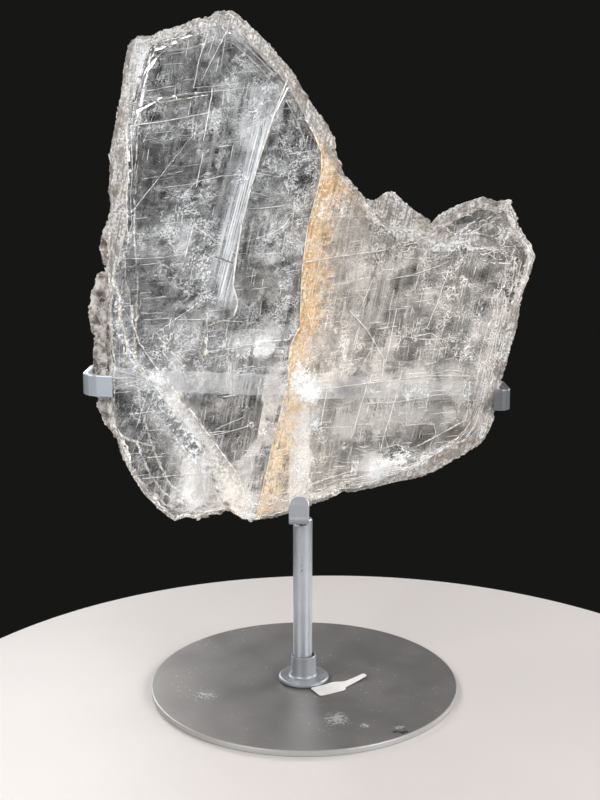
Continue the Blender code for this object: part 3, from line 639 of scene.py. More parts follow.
def veil_finish(name, settings, shift, steep, crusted):
    """Thin milky sheet: panes of haze, hair-fine curls and straight streaks, over clear gaps."""
    finish = Finish(name)
    # The sheets stand upright, so their patterns are flat ones, in line with the cleavage traces.
    front = finish.cleaved(1.0, 1.0, shift)
    pane = finish.panes(finish.cleaved(72.0, 42.0, shift))
    cloud = finish.ramp(finish.noise(front, 70.0, 4.0, 0.6, flat=True), [(0.40, 0.05), (0.60, 1.0)])
    patchy = finish.ramp(finish.noise(front, 150.0, 3.0, 0.65, flat=True), [(0.42, 0.0), (0.56, 1.0)])
    fine = finish.ramp(finish.noise(front, 1500.0, 1.0, 0.6, flat=True), [(0.55, 0.0), (0.63, 0.9)])
    curls = finish.math("MAXIMUM", finish.curls(front, 380.0, 0.05), fine)
    wisps = finish.product(curls, patchy, finish.weight("wisp"), finish.scaled(pane, 0.55, 1.0))
    across, along = (1150.0, 24.0) if steep else (20.0, 1300.0)
    streak = finish.noise(finish.cleaved(across, along, shift), 1.0, 2.0, 0.6, flat=True)
    streak = finish.product(finish.ramp(streak, [(0.52, 0.0), (0.62, 1.0)]), finish.weight("streak"),
                            finish.scaled(pane, 1.0, 0.1))
    total = finish.math("MAXIMUM", wisps, streak)
    if crusted:
        crust = finish.noise(front, 420.0, 5.0, 0.75, flat=True)
        crust = finish.math("ADD", crust, finish.product(finish.weight("frost"), 0.30))
        total = finish.math("MAXIMUM", total, finish.ramp(crust, [(0.69, 0.0), (0.75, 0.95)]))
        even = finish.scaled(finish.noise(front, 520.0, 5.0, 0.75, flat=True), -0.9, 2.8)
        total = finish.math("MAXIMUM", total, finish.product(even, finish.weight("even")))
    haze = finish.product(finish.weight("milk"), cloud, finish.scaled(pane, 0.2, 1.0))
    total = finish.math("ADD", total, haze, clamp=True)
    finish.surface(base_color=veil_colour(finish, settings), roughness=0.6, alpha=total)
    return finish.material


def seam_finish(settings):
    """Iron stain: strongest at its sharp left edge, in flecks and fine vertical streaks."""
    finish = Finish("iron_seam")
    fleck = finish.noise(finish.cleaved(1.0, 1.0), 230.0, 6.0, 0.75, flat=True)
    crumb = finish.noise(finish.cleaved(1.0, 1.0, (3.1, 1.7)), 700.0, 3.0, 0.6, flat=True)
    streak = finish.noise(finish.cleaved(900.0, 70.0), 1.0, 3.0, 0.6, flat=True)
    tone = finish.mix(finish.ramp(fleck, [(0.40, 0.0), (0.60, 1.0)]), tuple(settings.ochre_colour),
                      tuple(settings.rust_colour))
    tone = finish.mix(finish.weight("pale"), tone, (0.74, 0.57, 0.34))
    tone = finish.mix(finish.ramp(streak, [(0.52, 0.0), (0.66, 0.55)]), tone, (0.93, 0.84, 0.68))
    tone = finish.mix(finish.ramp(streak, [(0.34, 0.55), (0.44, 0.0)]), tone, (0.42, 0.20, 0.05))
    tone = finish.mix(finish.ramp(crumb, [(0.56, 0.0), (0.63, 0.75)]), tone, (0.93, 0.86, 0.74))
    tone = finish.mix(finish.ramp(crumb, [(0.36, 0.6), (0.43, 0.0)]), tone, (0.36, 0.17, 0.045))
    cover = finish.math("ADD", finish.weight("stain"), finish.scaled(fleck, -1.7, 1.7))
    cover = finish.math("ADD", cover, finish.scaled(streak, -0.4, 0.4))
    finish.surface(base_color=tone, roughness=0.55, alpha=finish.ramp(cover, [(0.28, 0.0), (0.74, 0.95)]))
    return finish.material


def satin_finish():
    """Silvery striated band: fine parallel lines along the step."""
    finish = Finish("satin_band")
    fine = finish.noise(finish.mapped((0, SATIN_LEAN_DEG, 0), (1700, 100, 16)), 1.0, 3.0, 0.7)
    broad = finish.noise(finish.mapped((0, SATIN_LEAN_DEG, 0), (300, 100, 10)), 1.0, 2.0)
    lines = finish.ramp(fine, [(0.44, 0.0), (0.58, 1.0)])
    tone = finish.mix(finish.ramp(broad, [(0.4, 0.0), (0.65, 1.0)]), (0.66, 0.70, 0.75), (0.88, 0.91, 0.94))
    cover = finish.math("ADD", finish.math("MULTIPLY", lines, 0.55),
                        finish.ramp(broad, [(0.42, 0.0), (0.66, 0.5)]))
    finish.surface(base_color=tone, roughness=0.4,
                   alpha=finish.math("MULTIPLY", cover, finish.weight("satin"), clamp=True),
                   normal=finish.bump(fine, 0.5, 0.0003))
    return finish.material


def frost_finish(name, colour, dull, patchy=0.0):
    """White crystalline grains and slivers, uneven in tone, with darker patches if they are patchy."""
    finish = Finish(name)
    mottle = finish.noise(finish.place, 420.0, 4.0)
    tone = finish.mix(finish.ramp(mottle, [(0.40, 1.0), (0.54, 0.0)]), colour, dull)
    if patchy:
        patches = finish.noise(finish.place, 110.0, 4.0)
        tone = finish.mix(finish.ramp(patches, [(0.42, patchy), (0.50, 0.0)]), tone, brighter(dull, 0.6))
    finish.surface(base_color=tone, roughness=0.35,
                   normal=finish.bump(finish.noise(finish.place, 2500.0, 2.0), 0.3, 0.0002))
    return finish.material


def painted_metal(name, colour, scratches, marks=(), metal=0.45, dusty=0.55, lit_rim_radius=None):
    """Grey paint with dust, faint scratches and mottled gloss. Marks are placed scuffs and chips, and also a
    painted highlight and painted shade. The last value paints a lighter band along a disc's rim, a painted
    highlight.
    """
    finish = Finish(name)
    mottle = finish.noise(finish.place, 38.0, 5.0, 0.6)
    fine = finish.noise(finish.place, 900.0, 3.0, 0.7)
    tone = finish.mix(finish.ramp(mottle, [(0.35, 0.0), (0.68, 1.0)]), colour, brighter(colour, 1.16))
    specks = finish.add("ShaderNodeTexVoronoi", None, {
        "Vector": finish.place, "Scale": 260.0}).outputs["Distance"]
    dust = finish.math("MULTIPLY", finish.ramp(specks, [(0.0, 1.0), (0.17, 0.0)]),
                       finish.ramp(mottle, [(0.46, 0.0), (0.60, dusty)]))
    tone = finish.mix(dust, tone, (0.74, 0.73, 0.71))
    scratch = finish.noise(finish.mapped((0, 0, 24), scratches), 1.0, 2.0, 0.5)
    worn = finish.ramp(scratch, [(0.66, 0.0), (0.74, 0.5)])
    tone = finish.mix(worn, tone, brighter(colour, 1.7))
    for centre, reach, mark_colour, threshold, scale in marks:
        near = finish.spot(centre, reach)
        torn = finish.noise(finish.place, scale, 5.0, 0.7)
        mask = finish.ramp(finish.math("MULTIPLY", finish.math("POWER", near, 0.5), torn),
                           [(threshold, 0.0), (threshold + 0.05, 0.85)])
        tone = finish.mix(mask, tone, mark_colour)
    # Painted highlight: a lighter grey band along the rim, where light falls on the disc's edge.
    if lit_rim_radius:
        rim = finish.spot((0.0, 0.0, 0.0), (lit_rim_radius, lit_rim_radius, 1.0))
        tone = finish.mix(finish.ramp(rim, [(0.006, 0.9), (0.016, 0.0)]), tone, (0.60, 0.60, 0.60))
    gloss = finish.math("ADD", finish.ramp(mottle, [(0.3, 0.34), (0.7, 0.42)]),
                        finish.math("MULTIPLY", worn, 0.2))
    finish.surface(base_color=tone, metallic=metal, roughness=gloss, normal=finish.bump(fine, 0.16, 0.0002))
    return finish.material


def paper_finish(settings):
    """Coated white paper with a faint fibre."""
    finish = Finish("tag_paper")
    fibre = finish.noise(finish.mapped((0, 0, 35), (500, 2200, 500)), 1.0, 4.0)
    shade = finish.noise(finish.place, 160.0, 3.0)
    dull = brighter(settings.paper_colour, 0.9)
    finish.surface(base_color=finish.mix(finish.ramp(shade, [(0.4, 0.0), (0.7, 1.0)]),
                                         tuple(settings.paper_colour), dull),
                   roughness=0.7, normal=finish.bump(fibre, 0.25, 0.0002))
    return finish.material


def select_faces(thing, test):
    """In edit mode, selects the faces whose centre (in millimetres) and normal pass a test."""
    bpy.ops.mesh.select_all(action="DESELECT")
    bpy.ops.object.mode_set(mode="OBJECT")
    for face in thing.data.polygons:
        face.select = test(face.center / MM, face.normal)
    bpy.ops.object.mode_set(mode="EDIT")


def is_wall(centre, normal):
    """A face of the broken edge, which looks sideways."""
    return abs(normal.y) < WALL_NORMAL


def is_frosted(centre, normal):
    """Broken edges, the ledges of the rind and of the right shoulder, and the lumps at the left."""
    if is_wall(centre, normal):
        return True
    on_rind = RIND_DEPTHS[0] < centre.y < RIND_DEPTHS[1] and has_rind(centre)
    return on_rind or is_lump(centre)


def has_rind(centre):
    return centre.z > RIND_LOW_Z or centre.x > RIND_LEFT_X


def is_lump(centre):
    """A face of the lumps behind the left edge."""
    return centre.x < LUMP_RIGHT_X and centre.z < LUMP_TOP_Z


def is_outer(centre):
    """Not on the small walls where the rind's ledges drop away from the front and back faces."""
    return not has_rind(centre) or abs(centre.y) < RIND_WALL_REACH


def roughen_walls(thing, seed):
    """Breaks the edge faces up until they are about a millimetre wide, and shifts their corners."""
    only(thing)
    bpy.ops.object.mode_set(mode="EDIT")
    bpy.ops.mesh.select_mode(type="FACE")
    longest = (4.0, 2.4, 1.5)
    for number, limit in enumerate(longest):
        select_faces(thing, is_wall)
        bpy.ops.mesh.quads_convert_to_tris()
        bpy.ops.object.mode_set(mode="OBJECT")
        walls = {tuple(sorted(key)) for face in thing.data.polygons if face.select for key in face.edge_keys}
        ends = thing.data.vertices
        for face in thing.data.polygons:
            face.select = False
        for point in ends:
            point.select = False
        for edge in thing.data.edges:
            length = (ends[edge.vertices[0]].co - ends[edge.vertices[1]].co).length / MM
            edge.select = tuple(sorted(edge.vertices)) in walls and length > limit
        bpy.ops.object.mode_set(mode="EDIT")
        bpy.ops.mesh.select_mode(type="EDGE")
        bpy.ops.mesh.subdivide(number_cuts=1, fractal=0.35, fractal_along_normal=0.3, seed=seed + number)
        bpy.ops.mesh.select_mode(type="FACE")
    select_faces(thing, is_wall)
    bpy.ops.transform.vertex_random(offset=0.28 * MM, uniform=0.2, normal=0.5, seed=seed)
    bpy.ops.object.mode_set(mode="OBJECT")


def build_crystal(settings):
    crystal = merged_copy("selenite", "selenite_crystal")
    only(crystal)
    bpy.ops.object.mode_set(mode="EDIT")
    for place, direction in (((0, 0, RIND_LOW_Z * MM), (0, 0, 1)), ((RIND_LEFT_X * MM, 0, 0), (1, 0, 0)),
                             ((LUMP_RIGHT_X * MM, 0, 0), (1, 0, 0)), ((0, 0, LUMP_TOP_Z * MM), (0, 0, 1))):
        bpy.ops.mesh.select_all(action="SELECT")
        bpy.ops.mesh.bisect(plane_co=place, plane_no=direction)
    bpy.ops.object.mode_set(mode="OBJECT")
    roughen_walls(crystal, 5)
    finishes = [clear_crystal(settings), frosted_crystal(settings), lumpy_crystal(settings)]
    finish_piece(crystal, finishes)
    for face in crystal.data.polygons:
        centre = face.center / MM
        frosted = 2 if is_lump(centre) else 1
        face.material_index = frosted if is_frosted(centre, face.normal) else 0
        face.use_smooth = False
    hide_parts("selenite")
    crystal.visible_shadow = False
    return crystal


def trimmed_sheet(name, width, height, spacing, centre):
    """Upright grid, facing the front, as an unplaced sheet to be shaped and trimmed."""
    deselect_all()
    bpy.ops.mesh.primitive_grid_add(
        x_subdivisions=round(width / spacing), y_subdivisions=round(height / spacing), size=1.0,
        location=Vector(centre) * MM, rotation=(math.radians(90), 0, 0))
    sheet = named(name)
    sheet.scale = (width * MM, height * MM, 1.0)
    apply_place()
    return sheet


def lean_grid(sheet, centre):
    """Slants a sheet's rows and columns along the cleavage traces, so that panes get straight sides."""
    rows = places_of(sheet)
    x = rows[:, 0] - centre.x
    z = rows[:, 2] - centre.z
    rows[:, 0] += z / math.tan(math.radians(STEEP_TRACE_DEG))
    rows[:, 2] += x * math.tan(math.radians(LEVEL_TRACE_DEG))
    set_places(sheet, rows)


def trim(sheet, solid):
    """Cuts a sheet off where the crystal ends."""
    cut = sheet.modifiers.new("trim", "BOOLEAN")
    cut.operation = "INTERSECT"
    cut.object = solid
    cut.solver = "EXACT"
    apply_modifier(sheet, cut)


def inside(corners, x, z):
    """Which places of the front view lie inside a straight-sided pane."""
    within = np.zeros(np.shape(x), bool)
    for (x0, z0), (x1, z1) in zip(corners, corners[1:] + corners[:1]):
        crosses = (z0 > z) != (z1 > z)
        within ^= crosses & (x < x0 + (z - z0) * (x1 - x0) / ((z1 - z0) or 1e-9))
    return within


def on_band(x, z):
    """Which places lie on the pale band along the right of the ridge."""
    return (x > line_x(RIDGE, z)) & (x < line_x(BAND_RIGHT, z)) & (z < 158)


def clearness(x, z):
    """1 in the clear panes and windows of the front view and 0 well outside them."""
    clear = np.zeros(np.shape(x))
    for corners in CLEAR_PANES:
        clear = np.maximum(clear, inside(corners, x, z))
    for spot in WINDOWS:
        clear = np.maximum(clear, patch(x, z, spot))
    return np.clip(clear, 0.0, 1.0)


def beside_band(x, z):
    """Milky beds just above and below the strap, right of the seam and left of the ridge."""
    beside = (x > seam_x(z) + 1.0) | (x < line_x(RIDGE, z) + 6.0)
    above = smoothstep(162, 166, z) * (1.0 - smoothstep(168, 186, z))
    below = smoothstep(132, 147, z) * (1.0 - smoothstep(149, 153, z))
    return beside * np.maximum(above, below)


def milk_at(x, z):
    """How milky the crystal is at a place of its front view."""
    right = smoothstep(-2.0, 3.0, x - seam_x(z))
    milk = 0.05 + 0.24 * right
    for spot in CLOUDS:
        milk = milk + patch(x, z, spot)
    milk = milk + 0.05 * beside_band(x, z) + 0.55 * on_band(x, z)
    milk = milk + 0.5 * np.exp(-line_distance(RIDGE, x, z) / 2.5)
    milk = np.clip(milk, 0.02, 1.2) * (1.0 - 0.7 * clearness(x, z))
    for corners in MILKY_PANES:
        milk = np.where(inside(corners, x, z), milk + 0.3, milk)
    return milk


def even_at(x, z):
    """How strong the even milk is at a place of the front view."""
    even = np.maximum(0.62 * on_band(x, z), 0.14 * beside_band(x, z))
    beyond = x - seam_x(z)
    even = np.maximum(even, 0.25 * smoothstep(0.0, 3.0, beyond) * smoothstep(50.0, 10.0, beyond))
    for spot in RUST_SPOTS:
        even = np.maximum(even, 0.75 * patch(x, z, spot))
    for strength, corners in EVEN_PANES:
        even = np.maximum(even, strength * inside(corners, x, z))
    return even


def frost_at(x, z):
    """How thick the white crust is at a place of the front view."""
    frost = 0.75 * np.exp(-line_distance(RIDGE, x, z) / 2.2) + 0.45 * np.exp(-line_distance(RIND, x, z) / 1.5)
    for spot in FROST_CLUSTERS:
        frost = frost + patch(x, z, spot)
    return np.clip(frost, 0.0, 1.0)


def veil_weights(sheet, milk_share, wisp_share, streak_share):
    """Paints a sheet's milk, wisps, streaks, frost and stain from the crystal's named places."""
    rows = places_of(sheet)
    x, z = rows[:, 0], rows[:, 2]
    milk = milk_at(x, z)
    frost = frost_at(x, z)
    beyond = x - seam_x(z)
    right = smoothstep(-1.0, 4.0, beyond)
    rust = np.where(beyond > 0, np.exp(-beyond / 13.0), 0.0) * (0.25 + 0.55 * smoothstep(140, 190, z))
    upper_edge = np.exp(-line_distance([(18.4, 264.0), (34.8, 250.0)], x, z) / 6.0)
    warm = 0.12 + 0.6 * right + 0.25 * smoothstep(150, 100, z) + 0.5 * on_band(x, z)
    for spot in RUST_SPOTS:
        rust = rust + patch(x, z, spot)
    rust = (rust + 0.5 * upper_edge) * (1.0 - 0.8 * frost)
    clear = clearness(x, z)
    paint_weight(sheet, "milk", milk * milk_share)
    wisp = (0.53 + 0.47 * np.clip(milk, 0, 1)) * (1.0 - 0.6 * clear)
    paint_weight(sheet, "wisp", wisp * wisp_share)
    streak = (0.26 + 0.04 * right + 0.3 * np.clip(milk, 0, 1)) * (1.0 - 0.35 * clear)
    paint_weight(sheet, "streak", streak * streak_share)
    paint_weight(sheet, "even", even_at(x, z))
    paint_weight(sheet, "frost", frost)
    paint_weight(sheet, "warm", np.clip(warm * (1.0 - 0.9 * frost), 0, 1))
    paint_weight(sheet, "rust", np.clip(rust, 0, 0.9))


# Veils as depth, then shares of milk, wisps and streaks
VEILS = {
    "veil_front": (-8.4, 0.05, 1.00, 0.22),
    "veil_middle": (-1.6, 0.62, 0.40, 0.50),
    "veil_back": (8.2, 0.12, 0.30, 0.20),
}
VEIL_SPACING = 1.4
# Strips that are shaped from an upright grid: the seam's plane and the silvery band
STRIP_WIDTH = 20.0
SEAM_RUN = 17.0
SEAM_FRONT_Y = -9.3
SEAM_DEPTH = 14.0
SATIN_LOW_Z, SATIN_HIGH_Z = 196.0, 303.0
SATIN_WIDTH = 14.0
SATIN_GAP = 0.3
SATIN_LEAN_DEG = -15.4


def strip_share(rows):
    """How far across a fresh strip each place is, from 0 at its left side to 1 at its right."""
    return (rows[:, 0] + STRIP_WIDTH / 2) / STRIP_WIDTH


def build_veils(settings, solid):
    size = (CRYSTAL_HIGH - CRYSTAL_LOW) / MM
    middle = (CRYSTAL_LOW + CRYSTAL_HIGH) / 2 / MM
    width = size.x + size.z / math.tan(math.radians(STEEP_TRACE_DEG)) + 4.0
    height = size.z + size.x * math.tan(math.radians(LEVEL_TRACE_DEG)) + 4.0
    for number, (name, (depth, *shares)) in enumerate(VEILS.items()):
        sheet = trimmed_sheet(name, width, height, VEIL_SPACING, (middle.x, depth, middle.z))
        lean_grid(sheet, middle)
        trim(sheet, solid)
        veil_weights(sheet, *shares)
        shift = (0.37 * number, 0.61 * number)
        finish_piece(sheet, [veil_finish(name + "_milk", settings, shift, number > 0, number == 0)])
        sheet.visible_shadow = False


def build_seam(settings, solid):
    """Stained plane that leans back to the right from the seam's sharp edge."""
    low, high = SEAM[0][1], SEAM[-1][1]
    seam = trimmed_sheet("iron_seam", STRIP_WIDTH, high - low, 1.6, (0.0, 0.0, (low + high) / 2))
    rows = places_of(seam)
    share = strip_share(rows)
    rows[:, 0] = seam_x(rows[:, 2]) + share * SEAM_RUN
    rows[:, 1] = SEAM_FRONT_Y + share * SEAM_DEPTH
    set_places(seam, rows)
    trim(seam, solid)
    rows = places_of(seam)
    z = rows[:, 2]
    share = (rows[:, 0] - seam_x(z)) / SEAM_RUN
    strength = 0.80 + 0.20 * smoothstep(150, 178, z) - 0.1 * smoothstep(276, 284, z)
    paint_weight(seam, "stain", strength * (1.0 - smoothstep(0.12, 0.95, share)))
    paint_weight(seam, "pale", smoothstep(185, 145, z) * 0.8)
    finish_piece(seam, [seam_finish(settings)])
    seam.visible_shadow = False


def build_satin_band(solid):
    """Silvery strip just under the face, left of the bright step."""
    band = trimmed_sheet("satin_band", STRIP_WIDTH, SATIN_HIGH_Z - SATIN_LOW_Z, 2.0,
                         (0.0, 0.0, (SATIN_LOW_Z + SATIN_HIGH_Z) / 2))
    rows = places_of(band)
    share = strip_share(rows)
    rows[:, 0] = line_x(STEP, rows[:, 2]) - SATIN_GAP - (1.0 - share) * SATIN_WIDTH
    rows[:, 1] = STEP_FACE_Y + 0.5
    set_places(band, rows)
    trim(band, solid)
    rows = places_of(band)
    z = rows[:, 2]
    share = 1.0 - (line_x(STEP, z) - rows[:, 0]) / (SATIN_WIDTH + SATIN_GAP)
    along = smoothstep(196, 212, z) * (1.0 - smoothstep(276, 300, z))
    paint_weight(band, "satin", along * (0.15 + 0.85 * smoothstep(0.05, 0.7, share)))
    finish_piece(band, [satin_finish()])
    band.visible_shadow = False


def scatter(name, template, placements):
    """One mesh of many placed copies of a small template."""
    points = np.array([point.co for point in template.data.vertices])
    faces = [tuple(face.vertices) for face in template.data.polygons]
    spots, all_faces = [], []
    for number, placing in enumerate(placements):
        matrix = np.array(placing)
        spots.append(points @ matrix[:3, :3].T + matrix[:3, 3])
        first = number * len(points)
        all_faces.extend(tuple(first + corner for corner in face) for face in faces)
    mesh = bpy.data.meshes.new(name)
    mesh.from_pydata(np.concatenate(spots), [], all_faces)
    bpy.data.objects.remove(template, do_unlink=True)
    made = bpy.data.objects.new(name, mesh)
    bpy.context.scene.collection.objects.link(made)
    return made


def sliver_template():
    """Blade one unit long, wide and deep, tapered and a little uneven along its length."""
    deselect_all()
    bpy.ops.mesh.primitive_cylinder_add(vertices=4, radius=0.5, depth=1.0, rotation=(0, math.radians(90), 0))
    blade = named("sliver_template")
    apply_place()
    bpy.ops.object.mode_set(mode="EDIT")
    for place in (-0.32, -0.1, 0.14, 0.34):
        bpy.ops.mesh.select_all(action="SELECT")
        bpy.ops.mesh.bisect(plane_co=(place, 0, 0), plane_no=(1, 0, 0))
    bpy.ops.object.mode_set(mode="OBJECT")
    for point in blade.data.vertices:
        along = abs(point.co.x) * 2.0
        taper = 1.0 - 0.8 * along ** 6
        point.co.y *= taper
        point.co.z *= taper
    return blade


def blade_placing(start, end, depth, width, thickness, roll):
    """Lays the sliver along a line of the front view."""
    run = Vector((end[0] - start[0], 0.0, end[1] - start[1]))
    centre = Vector(((start[0] + end[0]) / 2, depth, (start[1] + end[1]) / 2))
    along = run.normalized()
    back = Vector((0.0, 1.0, 0.0))
    across = along.cross(back)
    turn = Matrix((along, back, across)).transposed() @ Matrix.Rotation(roll, 3, "X")
    size = Matrix.Diagonal((run.length * 1.08 * MM, thickness * MM, width * MM))
    return Matrix.Translation(centre * MM) @ (turn @ size).to_4x4()


def surface_depth(solid, x, z):
    """Depth of the crystal's front at a place of the front view, or None beside it."""
    hit, place, _, _ = solid.ray_cast(Vector((x, -200.0, z)) * MM, Vector((0, 1, 0)))
    return place.y / MM if hit else None


def uneven_run(start, end, chance, piece=4.5, spread=0.14):
    """Splits a line into short pieces whose ends wander a little to either side."""
    length = math.hypot(end[0] - start[0], end[1] - start[1])
    count = max(1, round(length / piece))
    across = ((start[1] - end[1]) / length, (end[0] - start[0]) / length)
    joints = [start]
    for number in range(1, count):
        share = number / count
        wander = chance.gauss(0, spread)
        joints.append((start[0] + (end[0] - start[0]) * share + across[0] * wander,
                       start[1] + (end[1] - start[1]) * share + across[1] * wander))
    joints.append(end)
    return list(zip(joints, joints[1:]))


def surface_run(points, widths, unevenness, chance, solid):
    """Slivers along a line, laid on the crystal's own surface where there is any, with a few gaps."""
    placings = []
    for start, end in zip(points, points[1:]):
        for piece_start, piece_end in uneven_run(start, end, chance, *unevenness):
            depth = surface_depth(solid, (piece_start[0] + piece_end[0]) / 2,
                                  (piece_start[1] + piece_end[1]) / 2)
            if depth is not None and chance.random() < 0.85:
                placings.append(blade_placing(piece_start, piece_end, depth + 0.2, chance.uniform(*widths),
                                              0.8, chance.uniform(-0.3, 0.3)))
    return placings


def fine_lines(chance, solid):
    """Crests of the peaks and the laminae inside the edges."""
    placings = []
    for points in CREST_LINES:
        for drop in (0.0, 1.9, 4.1):
            lowered = [(x + chance.gauss(0, 0.7), z - drop + chance.gauss(0, 0.6)) for x, z in points]
            placings += surface_run(lowered, (0.15, 0.7), (1.6, 0.55), chance, solid)
    for points, (step_x, step_z), count in LAMINAE:
        for number in range(1, count + 1):
            shifted = [(x + number * step_x + chance.gauss(0, 0.35),
                        z + number * step_z + chance.gauss(0, 0.35))
                       for x, z in points[chance.randrange(3):]]
            placings += surface_run(shifted, (0.06, 0.26), (3.5, 0.2), chance, solid)
    return placings


# Short cleavage traces: how many, and the part of the front view that they are drawn from
TRACE_COUNT = 620
TRACE_X = (-92, 104)
TRACE_Z = (98, 326)


def crack_placings(chance, solid):
    """The named bright cracks, drawn as chains of slivers, then the short cleavage traces."""
    placings = []
    for points, width, depth in CRACKS:
        for start, end in zip(points, points[1:]):
            for piece_start, piece_end in uneven_run(start, end, chance):
                placings.append(blade_placing(piece_start, piece_end, depth,
                                              width * chance.uniform(0.25, 0.7), 0.8,
                                              chance.uniform(-0.2, 0.2)))
    lines = ((STEP, 0.7, STEP_FACE_Y + 0.5), (SEAM, 0.35, -9.0), (BAND_RIGHT[1:], 0.4, -9.4),
             (RIND, 0.16, -9.6), (RIDGE, 0.45, -9.6))
    for points, width, depth in lines:
        for start, end in zip(points, points[1:]):
            if surface_depth(solid, *start) is not None and surface_depth(solid, *end) is not None:
                placings.append(blade_placing(start, end, depth, width, 1.0, chance.uniform(-0.3, 0.3)))
    placings += fine_lines(chance, solid)
    missing = TRACE_COUNT
    while missing:
        x = chance.uniform(*TRACE_X)
        z = chance.uniform(*TRACE_Z)
        near = surface_depth(solid, x, z)
        on_right = x > seam_x(z)
        if near is None or chance.random() > (1.0 if on_right else 0.55):
            continue
        level = chance.random() < (0.5 if on_right else 0.6)
        degrees = LEVEL_TRACE_DEG + 1.5 if level else STEEP_TRACE_DEG
        angle = math.radians(degrees + chance.gauss(0, 2.2))
        length = chance.uniform(2.5, 9.0) * (1.8 if chance.random() < 0.2 else 1.0)
        half = Vector((math.cos(angle), math.sin(angle))) * length / 2
        start, end = (x - half.x, z - half.y), (x + half.x, z + half.y)
        ends = [surface_depth(solid, *start), surface_depth(solid, *end)]
        if None in ends:
            continue
        depth = max(near, *ends) + chance.uniform(0.8, 11.0)
        placings.append(blade_placing(start, end, depth, chance.uniform(0.07, 0.17), chance.uniform(0.3, 1.0),
                                      chance.uniform(-0.2, 0.2)))
        missing -= 1
    return placings


def build_cracks(settings, solid):
    chance = random.Random(21)
    cracks = scatter("crack_slivers", sliver_template(), crack_placings(chance, solid))
    finish_piece(cracks, [frost_finish("crack_white", (0.93, 0.93, 0.92), (0.74, 0.72, 0.69))])


def grain_template():
    """Small angular grain, one unit wide."""
    deselect_all()
    bpy.ops.mesh.primitive_cube_add(size=0.8)
    grain = named("grain_template")
    bpy.ops.object.mode_set(mode="EDIT")
    bpy.ops.mesh.select_all(action="SELECT")
    bpy.ops.transform.vertex_random(offset=0.22, uniform=1.0, normal=0.0, seed=4)
    bpy.ops.object.mode_set(mode="OBJECT")
    return grain


def grain_placing(place, size, chance):
    turn = Matrix.Rotation(chance.uniform(0, 6.28), 4, Vector((chance.gauss(0, 1), chance.gauss(0, 1),
                                                               chance.gauss(0, 1))).normalized())
    shape = Matrix.Diagonal((size * chance.uniform(0.5, 1.5), size * chance.uniform(0.4, 0.9),
                             size * chance.uniform(0.5, 1.5), 1.0))
    return Matrix.Translation(place) @ turn @ shape


def front_grains(solid, settings, chance):
    """Grains on the front: along the ridge and the rind's inner edge, and in the clusters."""
    placings = []

    def settle(x, z, size):
        depth = surface_depth(solid, x, z)
        if depth is not None:
            placings.append(grain_placing(Vector((x, depth, z)) * MM, size, chance))

    for points, spread, per_mm in ((RIDGE, 1.0, 4.0), (STEP, 0.4, 0.8)):
        for (x0, z0), (x1, z1) in zip(points, points[1:]):
            length = math.hypot(x1 - x0, z1 - z0)
            for _ in range(round(length * per_mm)):
                share = chance.random()
                x = x0 + (x1 - x0) * share + chance.gauss(0, spread)
                z = z0 + (z1 - z0) * share + chance.gauss(0, spread)
                settle(x, z, settings.grain_size * chance.uniform(0.25, 0.7))
    for x0, z0, half_width, half_height, strength in FROST_CLUSTERS:
        for _ in range(round(half_width * half_height * strength * 3.0)):
            settle(x0 + chance.gauss(0, 0.5) * half_width, z0 + chance.gauss(0, 0.5) * half_height,
                   settings.grain_size * chance.uniform(0.25, 0.7))
    return placings


def rim_places(crystal, count, chance):
    """Places spread over the broken edge, more on larger faces, each with its face's normal."""
    walls = [face for face in crystal.data.polygons
             if is_wall(face.center / MM, face.normal) and is_outer(face.center / MM)]
    areas = [face.area for face in walls]
    for face in chance.choices(walls, weights=areas, k=count):
        corner = crystal.data.vertices[face.vertices[chance.randrange(len(face.vertices))]].co
        yield face.center.lerp(corner, chance.random() * 0.8), face.normal.copy()


def flake_template():
    """Six-sided flake of a lamina, one unit long and wide, that faces the front."""
    deselect_all()
    bpy.ops.mesh.primitive_cylinder_add(vertices=6, radius=0.5, depth=1.0, rotation=(math.radians(90), 0, 0))
    flake = named("flake_template")
    apply_place()
    bpy.ops.object.mode_set(mode="EDIT")
    bpy.ops.mesh.select_all(action="SELECT")
    bpy.ops.transform.vertex_random(offset=0.16, uniform=1.0, normal=0.0, seed=9)
    bpy.ops.object.mode_set(mode="OBJECT")
    return flake


def flake_placing(place, normal, chance):
    """Lays a flake along the edge, nearly square to the plate's thickness, a little proud of its face."""
    along = math.atan2(normal.x, -normal.z) + chance.gauss(0, 0.28)
    turn = (Matrix.Rotation(-along, 4, "Y") @ Matrix.Rotation(chance.gauss(0, 0.30), 4, "X")
            @ Matrix.Rotation(chance.gauss(0, 0.22), 4, "Z"))
    length = chance.uniform(1.2, 4.2)
    shape = Matrix.Diagonal((length * MM, chance.uniform(0.15, 0.5) * MM,
                             length * chance.uniform(0.28, 0.6) * MM, 1.0))
    return Matrix.Translation(place - normal * 0.2 * MM) @ turn @ shape


def build_frost(settings, crystal, solid):
    chance = random.Random(33)
    white = scatter("front_frost", grain_template(), front_grains(solid, settings, chance))
    finish_piece(white, [frost_finish("frost_white", (0.97, 0.97, 0.96), (0.84, 0.83, 0.82))])
    grains = [grain_placing(place, settings.grain_size * chance.uniform(0.4, 1.2), chance)
              for place, _ in rim_places(crystal, settings.rim_grains, chance)]
    rim = scatter("rim_frost", grain_template(), grains)
    finish_piece(rim, [frost_finish("frost_beige", (0.99, 0.98, 0.97), (0.46, 0.42, 0.38), 0.8)])
    plates = [flake_placing(place, normal, chance)
              for place, normal in rim_places(crystal, settings.rim_flakes, chance)]
    flakes = scatter("rim_flakes", flake_template(), plates)
    finish_piece(flakes, [frost_finish("flake_white", tuple(settings.rind_colour), (0.38, 0.34, 0.30),
                                       0.8)])


